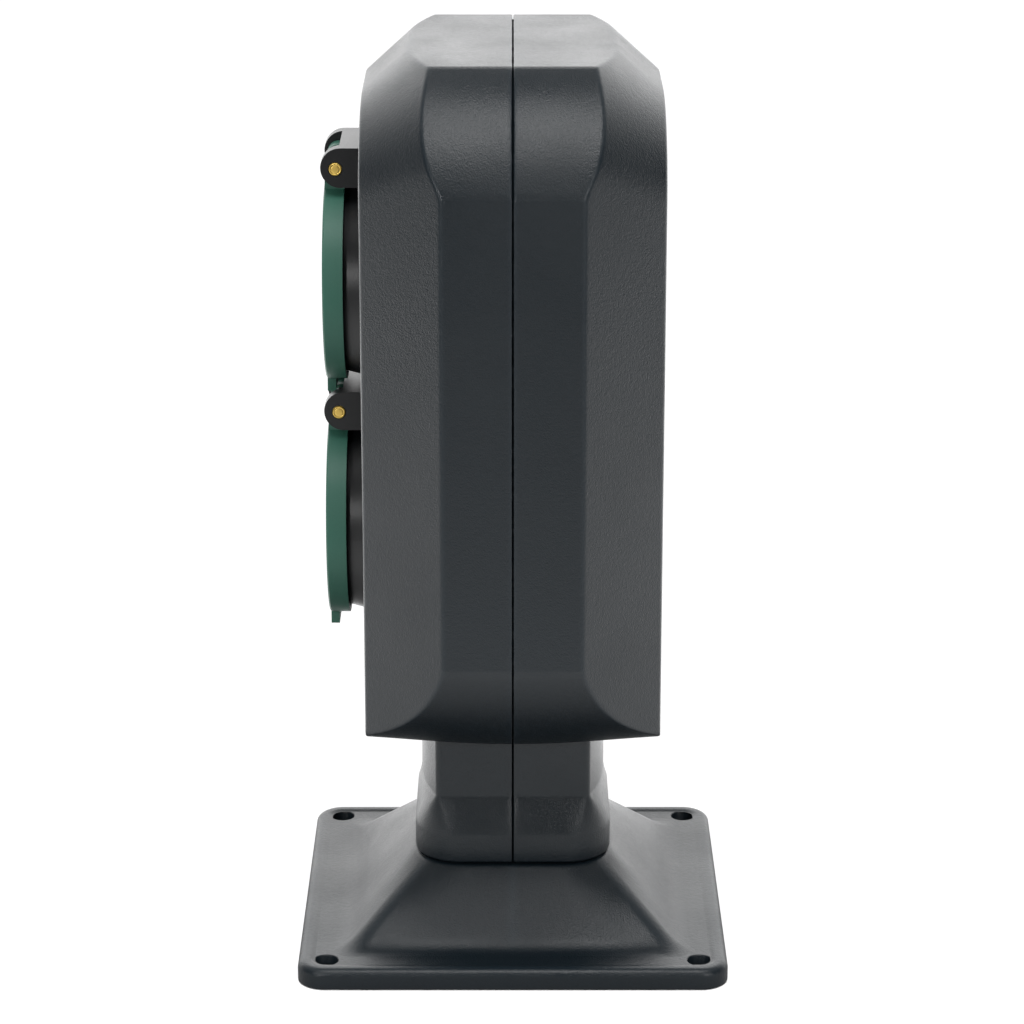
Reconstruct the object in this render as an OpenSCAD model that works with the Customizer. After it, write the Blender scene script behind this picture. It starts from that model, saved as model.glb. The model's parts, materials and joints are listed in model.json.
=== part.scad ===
// Garden socket pillar with two spring-lid outlets, in millimetres.
// The origin is at the centre of the foot's underside, +Z is up, the outlets face -Y
// and the housing is split in two along the plane Y = 0.

/* [Foot] */
// Width and depth of the square foot plate
foot_w = 121; // [112:1:140]
// Thickness of the foot plate
foot_t = 6; // [5:0.5:9]
// Corner radius of the foot plate, seen from above
foot_corner_r = 8; // [5:0.5:12]
// Radius of the rounded upper edge of the foot plate
foot_edge_r = 2.5; // [1:0.5:4]
// Distance between the fixing holes, both ways
foot_hole_pitch = 105; // [96:1:110]
// Diameter of the fixing holes
foot_hole_d = 6.8; // [5:0.1:8]
// Width of the pyramid where it rises from the plate
pyramid_w = 94; // [86:1:98]
// Height of the pyramid's top above the ground
pyramid_top = 25; // [20:0.5:30]
// Radius of the pyramid's ridges at the plate
ridge_r = 6; // [3:0.5:10]
// Wall of the foot moulding
foot_wall = 3; // [2.5:0.1:4]
// Gap between the spigot and the collar around it
spigot_play = 0.3; // [0.15:0.05:0.5]
// Thickness of the web that closes the spigot
web_t = 3; // [2:0.5:4]
// Bore of the cable grommet
cable_d = 9; // [7:0.5:12]
// Wall of the cable grommet inside the web
grommet_t = 2; // [1.5:0.1:3]
// Thickness and width of the grommet's lips
grommet_lip = 1.8; // [1.2:0.1:2.4]

/* [Collar and neck] */
// Width of the collar, side to side
collar_w = 60; // [56:0.5:64]
// Depth of the collar, front to back
collar_d = 56; // [54:0.5:60]
// Corner radius of the collar
collar_r = 15; // [10:0.5:20]
// Gap between the collar and the pyramid
collar_gap = 0.6; // [0.3:0.1:1.5]
// Height of the collar's upright band
collar_h = 9.2; // [6:0.2:12]
// Height of the shoulder between collar and neck
shoulder_h = 9; // [6:0.5:12]
// Width of the neck, side to side
neck_w = 52.6; // [48:0.2:56]
// Depth of the neck, front to back
neck_d = 53.4; // [50:0.2:55]
// Distance of the neck's screw posts from the centre, side to side
post_x = 16; // [14:0.5:18]
// Distance of the neck's screw posts from the seam
post_y = 15.5; // [13:0.5:17]
// Radius of the neck's screw posts
post_r = 3.8; // [3.4:0.1:4.4]
// Height of the neck's screw posts
post_h = 17; // [14:0.5:22]

/* [Housing] */
// Width of the housing, side to side
body_w = 134; // [128:1:150]
// Depth of the housing, front to back
body_d = 82; // [78:1:92]
// Height of the housing's underside above the ground
body_z0 = 65.6; // [62:0.2:72]
// Height of the housing
body_h = 191.4; // [184:0.2:210]
// Wall of the housing
wall = 2.6; // [2.2:0.1:3.2]
// Depth of the flat band on each side, front to back
side_band = 37.8; // [32:0.2:44]
// Depth of the flat band on the top, front to back
top_band = 56.4; // [52:0.2:66]
// Height that the top bevel loses towards the front face
top_bevel = 11.3; // [8:0.1:14]
// Width of the straight middle of the top bevel
top_flat = 24; // [16:1:36]
// Height of the round corner at the top of the front face
face_corner_h = 24.2; // [16:0.2:30]
// Height of the same corner, carried on to the seam
seam_corner_h = 39.6; // [32:0.2:50]
// Width of the cut upper corners
top_cut_w = 26.5; // [20:0.5:32]
// Height of the cut upper corners
top_cut_h = 29.5; // [22:0.5:34]
// Radius of the arc across the cut upper corners
top_cut_r = 58; // [45:1:90]
// Width of the cut lower corners
low_cut_w = 31; // [24:0.5:34]
// Height of the cut lower corners
low_cut_h = 31; // [24:0.5:34]
// Radius of the arc across the cut lower corners
low_cut_r = 46; // [40:1:90]

/* [Seam and bosses] */
// Width of the open line along the seam
seam_gap = 0.4; // [0.2:0.1:0.8]
// Height of the tongue on the rear shell
tongue_h = 3; // [2:0.5:5]
// Thickness of the tongue
tongue_t = 1.1; // [0.9:0.1:1.3]
// Play on each side of the tongue
tongue_play = 0.12; // [0.08:0.02:0.2]
// Thickness of the seal at the tip of the tongue
seal_t = 0.9; // [0.6:0.1:1.5]
// Distance of the housing bosses from the centre line
boss_x = 38; // [36:0.5:39]
// Height of the lowest pair of bosses
boss_z0 = 86; // [82:1:90]
// Height between neighbouring pairs of bosses
boss_pitch = 68; // [62:1:70]
// Radius of the front bosses
boss_r = 4; // [3.5:0.1:4.5]
// Radius of the rear bosses, around the sunk screw heads
boss_rear_r = 5.4; // [5:0.1:6]
// Shank radius of the housing screws
screw_r = 1.75; // [1.5:0.05:2]
// Head radius of the housing screws
screw_head_r = 3.6; // [3:0.1:3.8]
// Head height of the housing screws
screw_head_h = 2.4; // [2:0.1:3]
// Depth from the seam to the seat of the screw heads
screw_seat_y = 12; // [8:0.5:20]
// Grip of the housing screws in the front bosses
screw_grip = 16; // [10:0.5:20]
// Width of the slots in the screw heads
slot_t = 0.7; // [0.5:0.05:0.8]
// Room beyond the tips of the screws in their holes
tip_room = 1; // [0.5:0.1:1.5]
// Radial play of the screws in the parts they are driven into
thread_play = 0.02; // [0.01:0.01:0.05]
// Radial play of the screws in the parts they pass through
screw_play = 0.3; // [0.2:0.05:0.4]
// Radial play around the sunk screw heads
head_play = 0.4; // [0.2:0.05:0.5]
// Grip of the foot screws in the posts of the neck
foot_screw_grip = 11.9; // [8:0.1:13]
// Rise of the posts' ribs above the spigot
post_rib_rise = 4; // [2:0.5:6]
// Thickness of the posts' ribs
post_rib_t = 2; // [1.6:0.1:2.4]
// Thickness of the ribs under the foot's plate
rib_t = 2; // [1.4:0.1:2.6]

/* [Outlets] */
// Height of the lower hinge pin
pin_z0 = 154.8; // [150:0.2:158]
// Height between the two outlets
outlet_pitch = 69; // [68.4:0.1:72]
// Drop from the hinge pin to the centre of the outlet
pin_drop = 33.5; // [33:0.1:35]
// Width of the flange
flange_w = 58; // [56:0.5:60]
// Thickness of the flange
flange_t = 2.2; // [1.8:0.1:3]
// Reach of the flange below the outlet's centre
flange_below = 28.4; // [28:0.1:30]
// Gap between the two flanges
flange_gap = 0.3; // [0.2:0.1:0.6]
// Corner radius of the flange
flange_r = 4; // [2:0.5:6]
// Play around the flange in its recess
flange_play = 0.2; // [0.1:0.05:0.4]
// Thickness of the gasket under the flange
gasket_t = 0.8; // [0.5:0.1:1.2]
// Depth of the mounting pad behind the recess
pad_t = 3; // [2.5:0.1:4]
// Margin of the mounting pad around the recess
pad_margin = 3; // [2:0.5:4]
// Drawing in of the gasket inside the flange's edge
gasket_inset = 0.4; // [0.2:0.1:0.8]
// Wall around the flange screws behind the recess
flange_boss_w = 1.8; // [1.4:0.1:2.2]
// Width of the flange screws' heads beyond their shank
flange_head_w = 1.2; // [1:0.1:1.3]
// Depth of the flange screws' heads in the flange
flange_head_h = 1.4; // [1:0.1:1.6]
// Distance of the flange screws from the centre line
flange_screw_x = 24.5; // [24:0.1:25]
// Drop of the lower flange screws below the centre
flange_screw_low = 23.5; // [22.5:0.1:24]
// Rise of the upper flange screws above the centre
flange_screw_high = 27; // [25:0.5:29]
// Shank radius of the flange screws
flange_screw_r = 1.4; // [1.2:0.05:1.6]
// Reach of the flange screws behind the recess
flange_screw_grip = 8; // [6:0.5:10]
// Outer radius of the collar ring at its rim
ring_r = 26; // [25.6:0.1:26.6]
// Outer radius of the collar ring at the flange
ring_root_r = 27.6; // [27:0.1:27.9]
// Height of the collar ring above the flange
ring_h = 6; // [5:0.1:7]
// Radius of the plug recess
recess_r = 19.85; // [19.8:0.05:20.2]
// Depth of the plug recess
recess_h = 17.5; // [17:0.1:18]
// Wall of the socket cup
cup_wall = 1.6; // [1.4:0.1:2]
// Play between the socket cup and what holds it
cup_play = 0.2; // [0.1:0.05:0.3]
// Thickness of the socket cup's floor
cup_floor = 3; // [2.5:0.1:4]
// Depth of the cup's rim below the rim of the collar ring
cup_sink = 0.4; // [0.2:0.1:0.8]
// Width of the step that seats the cup in the housing
cup_step_w = 1.7; // [1.2:0.1:2]
// Thickness of that step behind the recess
cup_step_t = 1.2; // [0.8:0.1:1.6]
// Width of the guides for the plug at both sides of the recess
key_w = 5.4; // [4.8:0.2:6]
// Thickness of the guides
key_t = 1.2; // [0.8:0.1:1.4]
// Depth of the guides' upper ends below the cup's rim
key_drop = 3; // [2:0.5:5]
// Thickness by which the cup's wall is cut for the earth clips
clip_inset = 1.4; // [1.2:0.1:1.8]
// Play around the earth clips in the cup's floor
clip_play = 0.3; // [0.2:0.05:0.4]
// Depth of the contact chamber behind the floor
chamber_h = 14; // [12:0.5:16]
// Distance between the pin holes
pin_pitch = 19; // [19:0.1:19.2]
// Radius of the pin holes
pin_hole_r = 2.7; // [2.5:0.05:2.9]
// Thickness of the back cover
cover_t = 2; // [1.6:0.1:3]
// Shank radius of the centre screw
centre_screw_r = 1.5; // [1.3:0.05:1.6]
// Depth of the sink for the centre screw's head
centre_sink = 1.7; // [1.4:0.1:2]
// Grip of the centre screw in the back cover
centre_grip = 8; // [6:0.5:9]
// Wall of the back cover's post around the centre screw
cover_post_w = 2.1; // [1.7:0.1:2.3]
// Depth of the back cover's lip inside the chamber
cover_lip = 1.5; // [1:0.1:2]
// Play of the back cover around the wires and their clamps
entry_play = 0.2; // [0.1:0.05:0.3]

/* [Contacts] */
// Length of the sleeves that grip the plug's pins
sleeve_h = 8; // [7:0.5:8.5]
// Wall of the sleeves
sleeve_wall = 1.2; // [0.8:0.1:1.4]
// Radius of the sleeves' bore
sleeve_r = 2.5; // [2.4:0.05:2.6]
// Width of the wire clamps
clamp_w = 6.4; // [5.6:0.2:7]
// Height of the wire clamps
clamp_h = 10; // [9.4:0.2:10.4]
// Drop from the outlet's centre to the middle of the power clamps
clamp_drop = 6; // [5.6:0.1:6.2]
// Drop from the outlet's centre to the middle of the earth clamp
earth_drop = 12.5; // [12:0.1:12.8]
// Width of the earth clips
bow_w = 4.6; // [4:0.2:5]
// Thickness of the earth clips
bow_t = 0.8; // [0.6:0.1:1]
// Inward bend of the earth clips
bow_knee = 1.6; // [1.2:0.1:2]
// Depth of the earth clips' tips below the cup's rim
bow_top = 2.5; // [1.5:0.1:3]
// Depth of the clips' knees below the cup's rim
bow_mid = 6; // [5:0.1:7]
// Length of the bend from the knees back to the wall
bow_bend = 4; // [3:0.1:5]
// Width of the slot along each sleeve
sleeve_slot = 0.8; // [0.6:0.1:1]
// Width of the clamp screws' heads beyond their shank
clamp_head_w = 0.9; // [0.7:0.1:1]
// Height of the clamp screws' heads
clamp_head_h = 1.2; // [0.9:0.1:1.3]
// Distance of the screw tips from the wires in the clamps
tip_gap = 0.1; // [0.05:0.01:0.2]
// Shank radius of the clamp screws
clamp_screw_r = 1.3; // [1.1:0.05:1.4]

/* [Lid and hinge] */
// Distance of the hinge pin from the front face
pin_reach = 7.5; // [7.4:0.1:9]
// Radius of the hinge pin
hinge_pin_r = 1.95; // [1.6:0.05:2.1]
// Running clearance of the lid on its pin
hinge_play = 0.08; // [0.05:0.01:0.1]
// Width of the hinge bracket
bracket_w = 28; // [26:0.5:31]
// Thickness of each ear
ear_t = 4.5; // [3.5:0.1:5.5]
// Radius of the ear's round end
ear_r = 5.5; // [5.2:0.1:5.8]
// Offset of the ear's round end behind the pin
ear_back = 1.4; // [1.2:0.1:1.8]
// Offset of the ear's round end above the pin
ear_up = 0.3; // [0:0.1:0.5]
// Radius of the lid's knuckles
knuckle_r = 3.2; // [3:0.1:3.4]
// Play at each side of the knuckles
knuckle_play = 0.3; // [0.2:0.05:0.5]
// Play between the knuckles and the bracket's hood
hood_play = 0.4; // [0.3:0.05:0.5]
// Overhang of the hinge pin at each ear
pin_overhang = 0.3; // [0.1:0.05:0.4]
// Chamfer at the ends of the hinge pin
pin_edge = 0.5; // [0.3:0.1:0.7]
// Width of the gap for the spring
spring_gap = 7.2; // [6.6:0.1:8]
// Radius of the lid
lid_r = 28.5; // [28.3:0.1:29.2]
// Distance of the lid's outer face in front of the pin
lid_front = 3.4; // [3.3:0.1:3.6]
// Rise of the bowed outer face of the lid
lid_bow = 0.3; // [0.2:0.1:0.8]
// Depth of the lid at its rim
lid_h = 5.6; // [5.4:0.1:5.8]
// Thickness of the lid's plate
lid_t = 2.2; // [1.8:0.1:2.6]
// Chamfer around the lid's outer face
lid_edge = 0.4; // [0.3:0.1:1]
// Overlap of the lid's disc with its hinge root and its tab
lid_root = 4; // [3:0.5:5]
// Thickness of the lid's rim
rim_t = 1.7; // [1.4:0.1:1.8]
// Gap between the tip of the finger tab and the knuckles of the outlet below
tab_gap = 0.9; // [0.8:0.1:2]
// Width of the finger tab
tab_w = 13; // [8:0.5:16]
// Thickness of the finger tab
tab_t = 2.4; // [1.8:0.1:2.8]
// Gap between the lid's seal and the collar ring at rest
seal_gap = 0.2; // [0.1:0.05:0.4]
// Wire diameter of the lid's spring
spring_wire = 0.6; // [0.5:0.05:0.7]
// Number of turns of the lid's spring
spring_turns = 4; // [3:1:5]
// Play between the spring's turns and the pin
spring_play = 0.15; // [0.1:0.05:0.2]
// Play at each end of the spring's turns
spring_end_play = 0.2; // [0.1:0.05:0.3]
// Play around the spring's legs in their holes
leg_play = 0.1; // [0.06:0.02:0.12]
// Width of the lid's seal outside the collar ring's rim
seal_over = 0.6; // [0.4:0.1:0.8]
// Distance of the lid's seal outside the wall of the recess
seal_in = 0.5; // [0.3:0.1:1]
// Length of the legs of the lid's spring
spring_leg = 6; // [5:0.5:7]

/* [Wiring] */
// Diameter of the inner wires over their insulation
wire_d = 2.8; // [2.2:0.1:3.2]
// Bend radius of the inner wires
wire_bend = 5; // [4:0.5:7]
// Depth that the inner wires reach into their clamps
wire_grip = 6.5; // [6.4:0.1:7.4]
// Distance between the two wires of one clamp
wire_pitch = 4; // [3.9:0.1:4.2]
// Distance of the power wires from the centre line
pole_x = 11; // [10.6:0.1:11.4]
// Distance from the seam to the wires that link the outlets
link_y = 14; // [8:0.5:18]
// Width of the terminal block
block_w = 36; // [30:1:40]
// Height of the terminal block
block_h = 16; // [12:0.5:20]
// Depth of the terminal block
block_d = 13; // [10:0.5:15]
// Gap between the terminal block and the bends of the wires above it
block_gap = 0.8; // [0.5:0.1:1.5]
// Shank radius of the two screws that hold the block
block_screw_r = 1.25; // [1.1:0.05:1.4]
// Head radius of those screws
block_head_r = 2.4; // [2.2:0.1:2.6]
// Radius of the posts behind the block
block_post_r = 3; // [2.6:0.1:3.4]
// Radius of the block's clamp screws
pole_screw_r = 2.1; // [1.8:0.1:2.2]
// Distance of the clamp screws from the block's upper and lower faces
pole_screw_in = 3.5; // [3:0.1:3.8]
// Depth of the slots between the poles, and of the sinks for the screws
block_slot_h = 2; // [1.5:0.1:3]
// Width of the slots between the poles
block_slot_w = 1.2; // [0.8:0.1:1.6]
// Length of the posts behind the terminal block
block_post_h = 3; // [2:0.5:5]
// Depth of the block's wire holes
block_hole_h = 5; // [4:0.5:6]

/* [Hidden] */
$fn = 64;
e = 0.01;
over = 1;

shell_black = [0.22, 0.23, 0.24];
socket_black = [0.16, 0.16, 0.17];
lid_green = [0.18, 0.36, 0.28];
brass_tone = [0.85, 0.70, 0.35];
steel_tone = [0.75, 0.76, 0.78];
rubber_black = [0.08, 0.08, 0.08];
insert_grey = [0.28, 0.28, 0.29];

// The housing's outline and its bevels
body_x = body_w / 2;
face = body_d / 2;
body_top = body_z0 + body_h;
side_y = side_band / 2;
top_y = top_band / 2;
top_fall = top_bevel / (face - top_y);

// The collar stands on the foot, and the neck carries on into the housing
collar_z = pyramid_top + collar_gap;
shoulder_z = collar_z + collar_h;
neck_z = shoulder_z + shoulder_h;
neck_r = collar_r - 1;
spigot_top = shoulder_z - spigot_play;
spigot_w = collar_w - 2 * (wall + spigot_play);
spigot_d = collar_d - 2 * (wall + spigot_play);
neck_in_d = neck_d - 2 * wall;
grommet_neck_r = cable_d / 2 + grommet_t;

// The outlets, counted from the lower one
pin_y = -(face + pin_reach);
recess_floor = -(face - flange_t - gasket_t);
flange_above = outlet_pitch - flange_below - flange_gap;
pad_back = recess_floor + pad_t;
cup_r = recess_r + cup_wall;
cup_rim = -(face + ring_h - cup_sink);
cup_floor_y = cup_rim + recess_h;
chamber_y = cup_floor_y + cup_floor;
cover_y = chamber_y + chamber_h;
step_r = cup_r + cup_step_w;
step_back = recess_floor + cup_step_t;
bow_r = recess_r - clip_inset;
block_y = face - wall - block_post_h;
slot_w = bracket_w - 2 * ear_t;
knuckle_w = slot_w - 2 * knuckle_play;
hood_r = knuckle_r + hood_play;
spring_r = hinge_pin_r + spring_play + spring_wire / 2;
spring_span = spring_gap - 2 * spring_wire - 2 * spring_end_play;
tab_reach = outlet_pitch - knuckle_r - tab_gap;
wire_play = 0.05;

function pin_z(k) = pin_z0 + k * outlet_pitch;
function outlet_z(k) = pin_z(k) - pin_drop;

// The terminal block hangs below the bends of the lowest wires
block_z0 = outlet_z(0) - earth_drop - wire_pitch / 2 - wire_bend - block_gap - block_h;

// Centre of the arc of radius r that crosses a corner cut of width w and height h,
// measured from the corner, inwards and along the height
function arc_back(w, h, r) = sqrt(r * r - (w * w + h * h) / 4) / sqrt(w * w + h * h);
function arc_x(w, h, r) = w / 2 + h * arc_back(w, h, r);
function arc_z(w, h, r) = h / 2 + w * arc_back(w, h, r);

// Rectangle with round corners, centred
module round_square(w, d, r) {
    square([w - 2 * r, d], center = true);
    square([w, d - 2 * r], center = true);
    for (x = [-1, 1], y = [-1, 1])
        translate([x * (w / 2 - r), y * (d / 2 - r)]) circle(r);
}

// Upright block with round corners, standing on z = 0
module round_block(w, d, r, h) {
    linear_extrude(h) round_square(w, d, r);
}

// Cylinder along Y from y0 to y1, with end radii r0 and r1
module rod_y(y0, y1, r0, r1 = -1) {
    translate([0, y0, 0]) rotate([-90, 0, 0])
        cylinder(h = y1 - y0, r1 = r0, r2 = r1 < 0 ? r0 : r1);
}

// Cylinder along X, centred
module rod_x(w, r) {
    rotate([0, 90, 0]) cylinder(h = w, r = r, center = true);
}

// Places its child behind an XZ drawing, from y0 to y1
module slab_y(y0, y1) {
    translate([0, y1, 0]) rotate([90, 0, 0]) linear_extrude(y1 - y0) children();
}

// The foot

// Profile of the plate across its width, with both upper edges round
module plate_profile(w) {
    square_h = foot_t - foot_edge_r;
    translate([-w / 2, 0]) square([w, square_h]);
    translate([-w / 2 + foot_edge_r, 0]) square([w - 2 * foot_edge_r, foot_t]);
    for (s = [-1, 1]) translate([s * (w / 2 - foot_edge_r), square_h]) circle(foot_edge_r);
}

module plate_corner() {
    rotate_extrude() intersection() {
        plate_profile(2 * foot_corner_r);
        square([foot_corner_r, foot_t]);
    }
}

module plate() {
    run = foot_w - 2 * foot_corner_r;
    for (a = [0, 90]) rotate([0, 0, a])
        translate([0, run / 2, 0]) rotate([90, 0, 0]) linear_extrude(run) plate_profile(foot_w);
    for (x = [-1, 1], y = [-1, 1])
        translate([x * run / 2, y * run / 2, 0]) plate_corner();
}

// Four-sided rise from the plate to the collar, drawn in by inset on every side
module pyramid(inset) {
    lift = inset * 0.75;
    i2 = 2 * inset;
    hull() {
        translate([0, 0, foot_t - lift - over])
            round_block(pyramid_w - i2, pyramid_w - i2, ridge_r, over, $fn = 32);
        translate([0, 0, pyramid_top - lift - over])
            round_block(collar_w - i2, collar_d - i2, collar_r - inset / 2, over, $fn = 32);
    }
}

module foot_corners() {
    for (x = [-1, 1], y = [-1, 1])
        translate([x * foot_hole_pitch / 2, y * foot_hole_pitch / 2, 0]) children();
}

module web_posts() {
    for (x = [-1, 1], y = [-1, 1]) translate([x * post_x, y * post_y, 0]) children();
}

module foot_plate() {
    pocket = foot_w - 2 * foot_wall;
    boss = foot_hole_d / 2 + foot_wall;
    spigot_root = pyramid_top - foot_wall;
    color(shell_black) difference() {
        union() {
            difference() {
                union() {
                    plate();
                    pyramid(0);
                }
                translate([0, 0, -over])
                    round_block(pocket, pocket, foot_corner_r - foot_wall, foot_t - foot_wall + over);
                translate([0, 0, -foot_wall]) pyramid(foot_wall);
                translate([0, 0, -over])
                    round_block(pyramid_w - 4 * foot_wall, pyramid_w - 4 * foot_wall, ridge_r,
                        foot_t + over);
                translate([0, 0, foot_t])
                    round_block(spigot_w - 2 * foot_wall, spigot_d - 2 * foot_wall,
                        collar_r - 2 * foot_wall, pyramid_top);
            }
            difference() {
                translate([0, 0, spigot_root])
                    round_block(spigot_w, spigot_d, collar_r - wall, spigot_top - spigot_root);
                translate([0, 0, spigot_root - over])
                    round_block(spigot_w - 2 * foot_wall, spigot_d - 2 * foot_wall,
                        collar_r - 2 * foot_wall, spigot_top - spigot_root + over - web_t);
            }
            foot_corners() cylinder(h = foot_t - foot_wall + e, r = boss);
            underside_ribs();
        }
        foot_corners() translate([0, 0, -over]) cylinder(h = foot_t + 2 * over, d = foot_hole_d);
        web_posts() translate([0, 0, spigot_top - web_t - over])
            cylinder(h = web_t + 2 * over, r = screw_r + screw_play);
        translate([0, 0, spigot_top - web_t - over])
            cylinder(h = web_t + 2 * over, r = grommet_neck_r);
    }
}

// Ribs under the plate, from each fixing boss to its neighbours' rim
module underside_ribs() {
    half = foot_w / 2 - foot_wall + e;
    reach = half - pyramid_w / 2 + foot_wall;
    for (a = [0:90:270]) rotate([0, 0, a]) for (s = [-1, 0, 1])
        translate([pyramid_w / 2 - foot_wall, s * foot_hole_pitch / 4 - rib_t / 2, 0])
            cube([reach, rib_t, foot_t - foot_wall + e]);
}

module cable_grommet() {
    lip_r = grommet_neck_r + grommet_lip;
    color(rubber_black) difference() {
        union() {
            translate([0, 0, spigot_top - web_t - grommet_lip])
                cylinder(h = web_t + 2 * grommet_lip, r = grommet_neck_r);
            translate([0, 0, spigot_top - web_t - grommet_lip])
                cylinder(h = grommet_lip, r = lip_r);
            translate([0, 0, spigot_top]) cylinder(h = grommet_lip, r1 = lip_r, r2 = lip_r - 1);
        }
        translate([0, 0, spigot_top - web_t - grommet_lip - over])
            cylinder(h = web_t + 2 * grommet_lip + 2 * over, d = cable_d);
    }
}

// Pan-head screw pointing up from z = 0, with its head below
module screw_up(shank_r, shank, head_r, head_h) {
    cylinder(h = shank, r = shank_r);
    difference() {
        translate([0, 0, -head_h]) cylinder(h = head_h, r1 = head_r * 0.8, r2 = head_r);
        for (a = [0, 90]) rotate([0, 0, a])
            translate([-head_r * 0.55, -slot_t / 2, -head_h - over])
                cube([head_r * 1.1, slot_t, over + head_h * 0.5]);
    }
}

module foot_screws() {
    color(steel_tone) web_posts() translate([0, 0, spigot_top - web_t])
        screw_up(screw_r, web_t + foot_screw_grip, screw_head_r, screw_head_h);
}

// The housing

// Outline of the housing as seen from the front, drawn in by inset
module outline(inset) {
    difference() {
        translate([-body_x + inset, body_z0 + inset])
            square([body_w - 2 * inset, body_h - 2 * inset]);
        for (s = [-1, 1]) {
            corner_piece(s, body_top, -1, top_cut_w, top_cut_h, top_cut_r, inset);
            corner_piece(s, body_z0, 1, low_cut_w, low_cut_h, low_cut_r, inset);
        }
    }
}

// What the arc takes off one corner: side s, corner height z, up being 1 or -1
module corner_piece(s, z, up, w, h, r, inset) {
    ax = arc_x(w, h, r);
    az = arc_z(w, h, r);
    ri = r - inset;
    cut_x = ax - sqrt(ri * ri - (az - inset) * (az - inset));
    cut_z = az - sqrt(ri * ri - (ax - inset) * (ax - inset));
    translate([s * body_x, z]) mirror([s > 0 ? 1 : 0, 0]) mirror([0, up > 0 ? 0 : 1])
        difference() {
            translate([-over, -over]) square([cut_x + over, cut_z + over]);
            translate([ax, az]) circle(ri, $fn = 128);
        }
}

function bevel_x(y, i) = body_x - (y - side_y) - i * sqrt(2);
function bevel_top(y, i) = body_top - top_fall * (y - top_y) - i * sqrt(1 + top_fall * top_fall);
function blend(y, a, b) = b + (a - b) * y / face;

// Front profile of the bevels at the distance y from the seam, with an elliptical quarter
// at each end of its straight top
module bevel_profile(y, i) {
    x = bevel_x(y, i);
    w = x - top_flat / 2;
    h = blend(y, face_corner_h, seam_corner_h) - i;
    top = bevel_top(y, i);
    translate([-x, body_z0 - 2 * over]) square([2 * x, top - h - body_z0]);
    for (s = [-1, 1]) translate([s * top_flat / 2, top - h]) scale([w, h]) circle(1, $fn = 96);
}

// The front half's bevels: a loft from behind the seam to a point ahead of the front face
module bevels(inset) {
    hull() {
        slab_y(over, 2 * over) bevel_profile(-over, inset);
        slab_y(-face - 2 * over, -face - over) bevel_profile(face + over, inset);
    }
}

// One half of the neck and collar, drawn in by inset
module stem(inset) {
    i2 = 2 * inset;
    translate([0, 0, collar_z - (inset > 0 ? over : 0)])
        round_block(collar_w - i2, collar_d - i2, collar_r - inset, collar_h + (inset > 0 ? over : 0));
    translate([0, 0, neck_z - e])
        round_block(neck_w - i2, neck_d - i2, neck_r - inset, body_z0 - neck_z + wall + 2 * e);
    hull() {
        translate([0, 0, shoulder_z - over])
            round_block(collar_w - i2, collar_d - i2, collar_r - inset, over, $fn = 32);
        translate([0, 0, neck_z])
            round_block(neck_w - i2, neck_d - i2, neck_r - inset, over, $fn = 32);
    }
}

// Solid front half of the housing, drawn in by inset, from the seam forwards
module half_form(inset) {
    intersection() {
        slab_y(-face + inset, 0) outline(inset);
        bevels(inset);
    }
}

module front_half() {
    translate([-body_w, -body_d, -over]) cube([2 * body_w, body_d, body_top + 2 * over]);
}

module boss_places() {
    for (x = [-1, 1], k = [0:2]) translate([x * boss_x, 0, boss_z0 + k * boss_pitch]) children();
}

// Walls of one half, open along the seam and down the neck
module half_walls() {
    difference() {
        union() {
            half_form(0);
            intersection() {
                stem(0);
                front_half();
            }
        }
        half_form(wall);
        stem(wall);
        half_slice();
    }
}

// The open line along the seam
module half_slice() {
    translate([-body_w, -seam_gap / 2, -over]) cube([2 * body_w, 2 * seam_gap, body_top + 2 * over]);
}

module neck_gap_zone() {
    translate([-neck_w / 2, -body_d, -over]) cube([neck_w, 2 * body_d, body_z0 + wall + 2 * over]);
}

// Posts in the neck that take the foot screws
module neck_posts() {
    for (x = [-1, 1]) translate([x * post_x, -post_y, 0]) {
        translate([0, 0, spigot_top]) cylinder(h = post_h, r = post_r);
        translate([-post_rib_t / 2, -(neck_in_d / 2 - post_y + wall / 2),
            spigot_top + post_rib_rise])
            cube([post_rib_t, neck_in_d / 2 - post_y, post_h - post_rib_rise]);
    }
}

module neck_post_holes() {
    for (x = [-1, 1]) translate([x * post_x, -post_y, spigot_top - over])
        cylinder(h = foot_screw_grip + tip_room + over, r = screw_r + thread_play);
}

recess_z0 = outlet_z(0) - flange_below;
recess_z1 = outlet_z(1) + flange_above;

module flange_shape(z0, z1, grow) {
    translate([0, (z0 + z1) / 2])
        round_square(flange_w + 2 * grow, z1 - z0 + 2 * grow, flange_r + grow);
}

module flange_screw_places(k) {
    for (x = [-1, 1], z = [-flange_screw_low, flange_screw_high])
        translate([x * flange_screw_x, 0, outlet_z(k) + z]) children();
}

module front_shell() {
    color(shell_black) difference() {
        union() {
            half_walls();
            intersection() {
                half_form(e);
                union() {
                    slab_y(recess_floor - wall, pad_back)
                        flange_shape(recess_z0, recess_z1, pad_margin);
                    for (k = [0, 1]) flange_screw_places(k)
                        rod_y(recess_floor, recess_floor + flange_screw_grip + 2 * tip_room,
                            flange_screw_r + flange_boss_w);
                    boss_places() rod_y(-face + wall / 2, 0, boss_r);
                }
            }
            neck_posts();
        }
        slab_y(-face - over, recess_floor) flange_shape(recess_z0, recess_z1, flange_play);
        for (k = [0, 1]) translate([0, 0, outlet_z(k)]) {
            rod_y(recess_floor - over, step_back, step_r + cup_play);
            rod_y(step_back - over, pad_back + over, cup_r + cup_play);
        }
        for (k = [0, 1]) flange_screw_places(k)
            rod_y(recess_floor - over, recess_floor + flange_screw_grip + tip_room,
                flange_screw_r + thread_play);
        boss_places() rod_y(-screw_grip - tip_room, over, screw_r + thread_play);
        neck_post_holes();
        rebate();
    }
}

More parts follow.
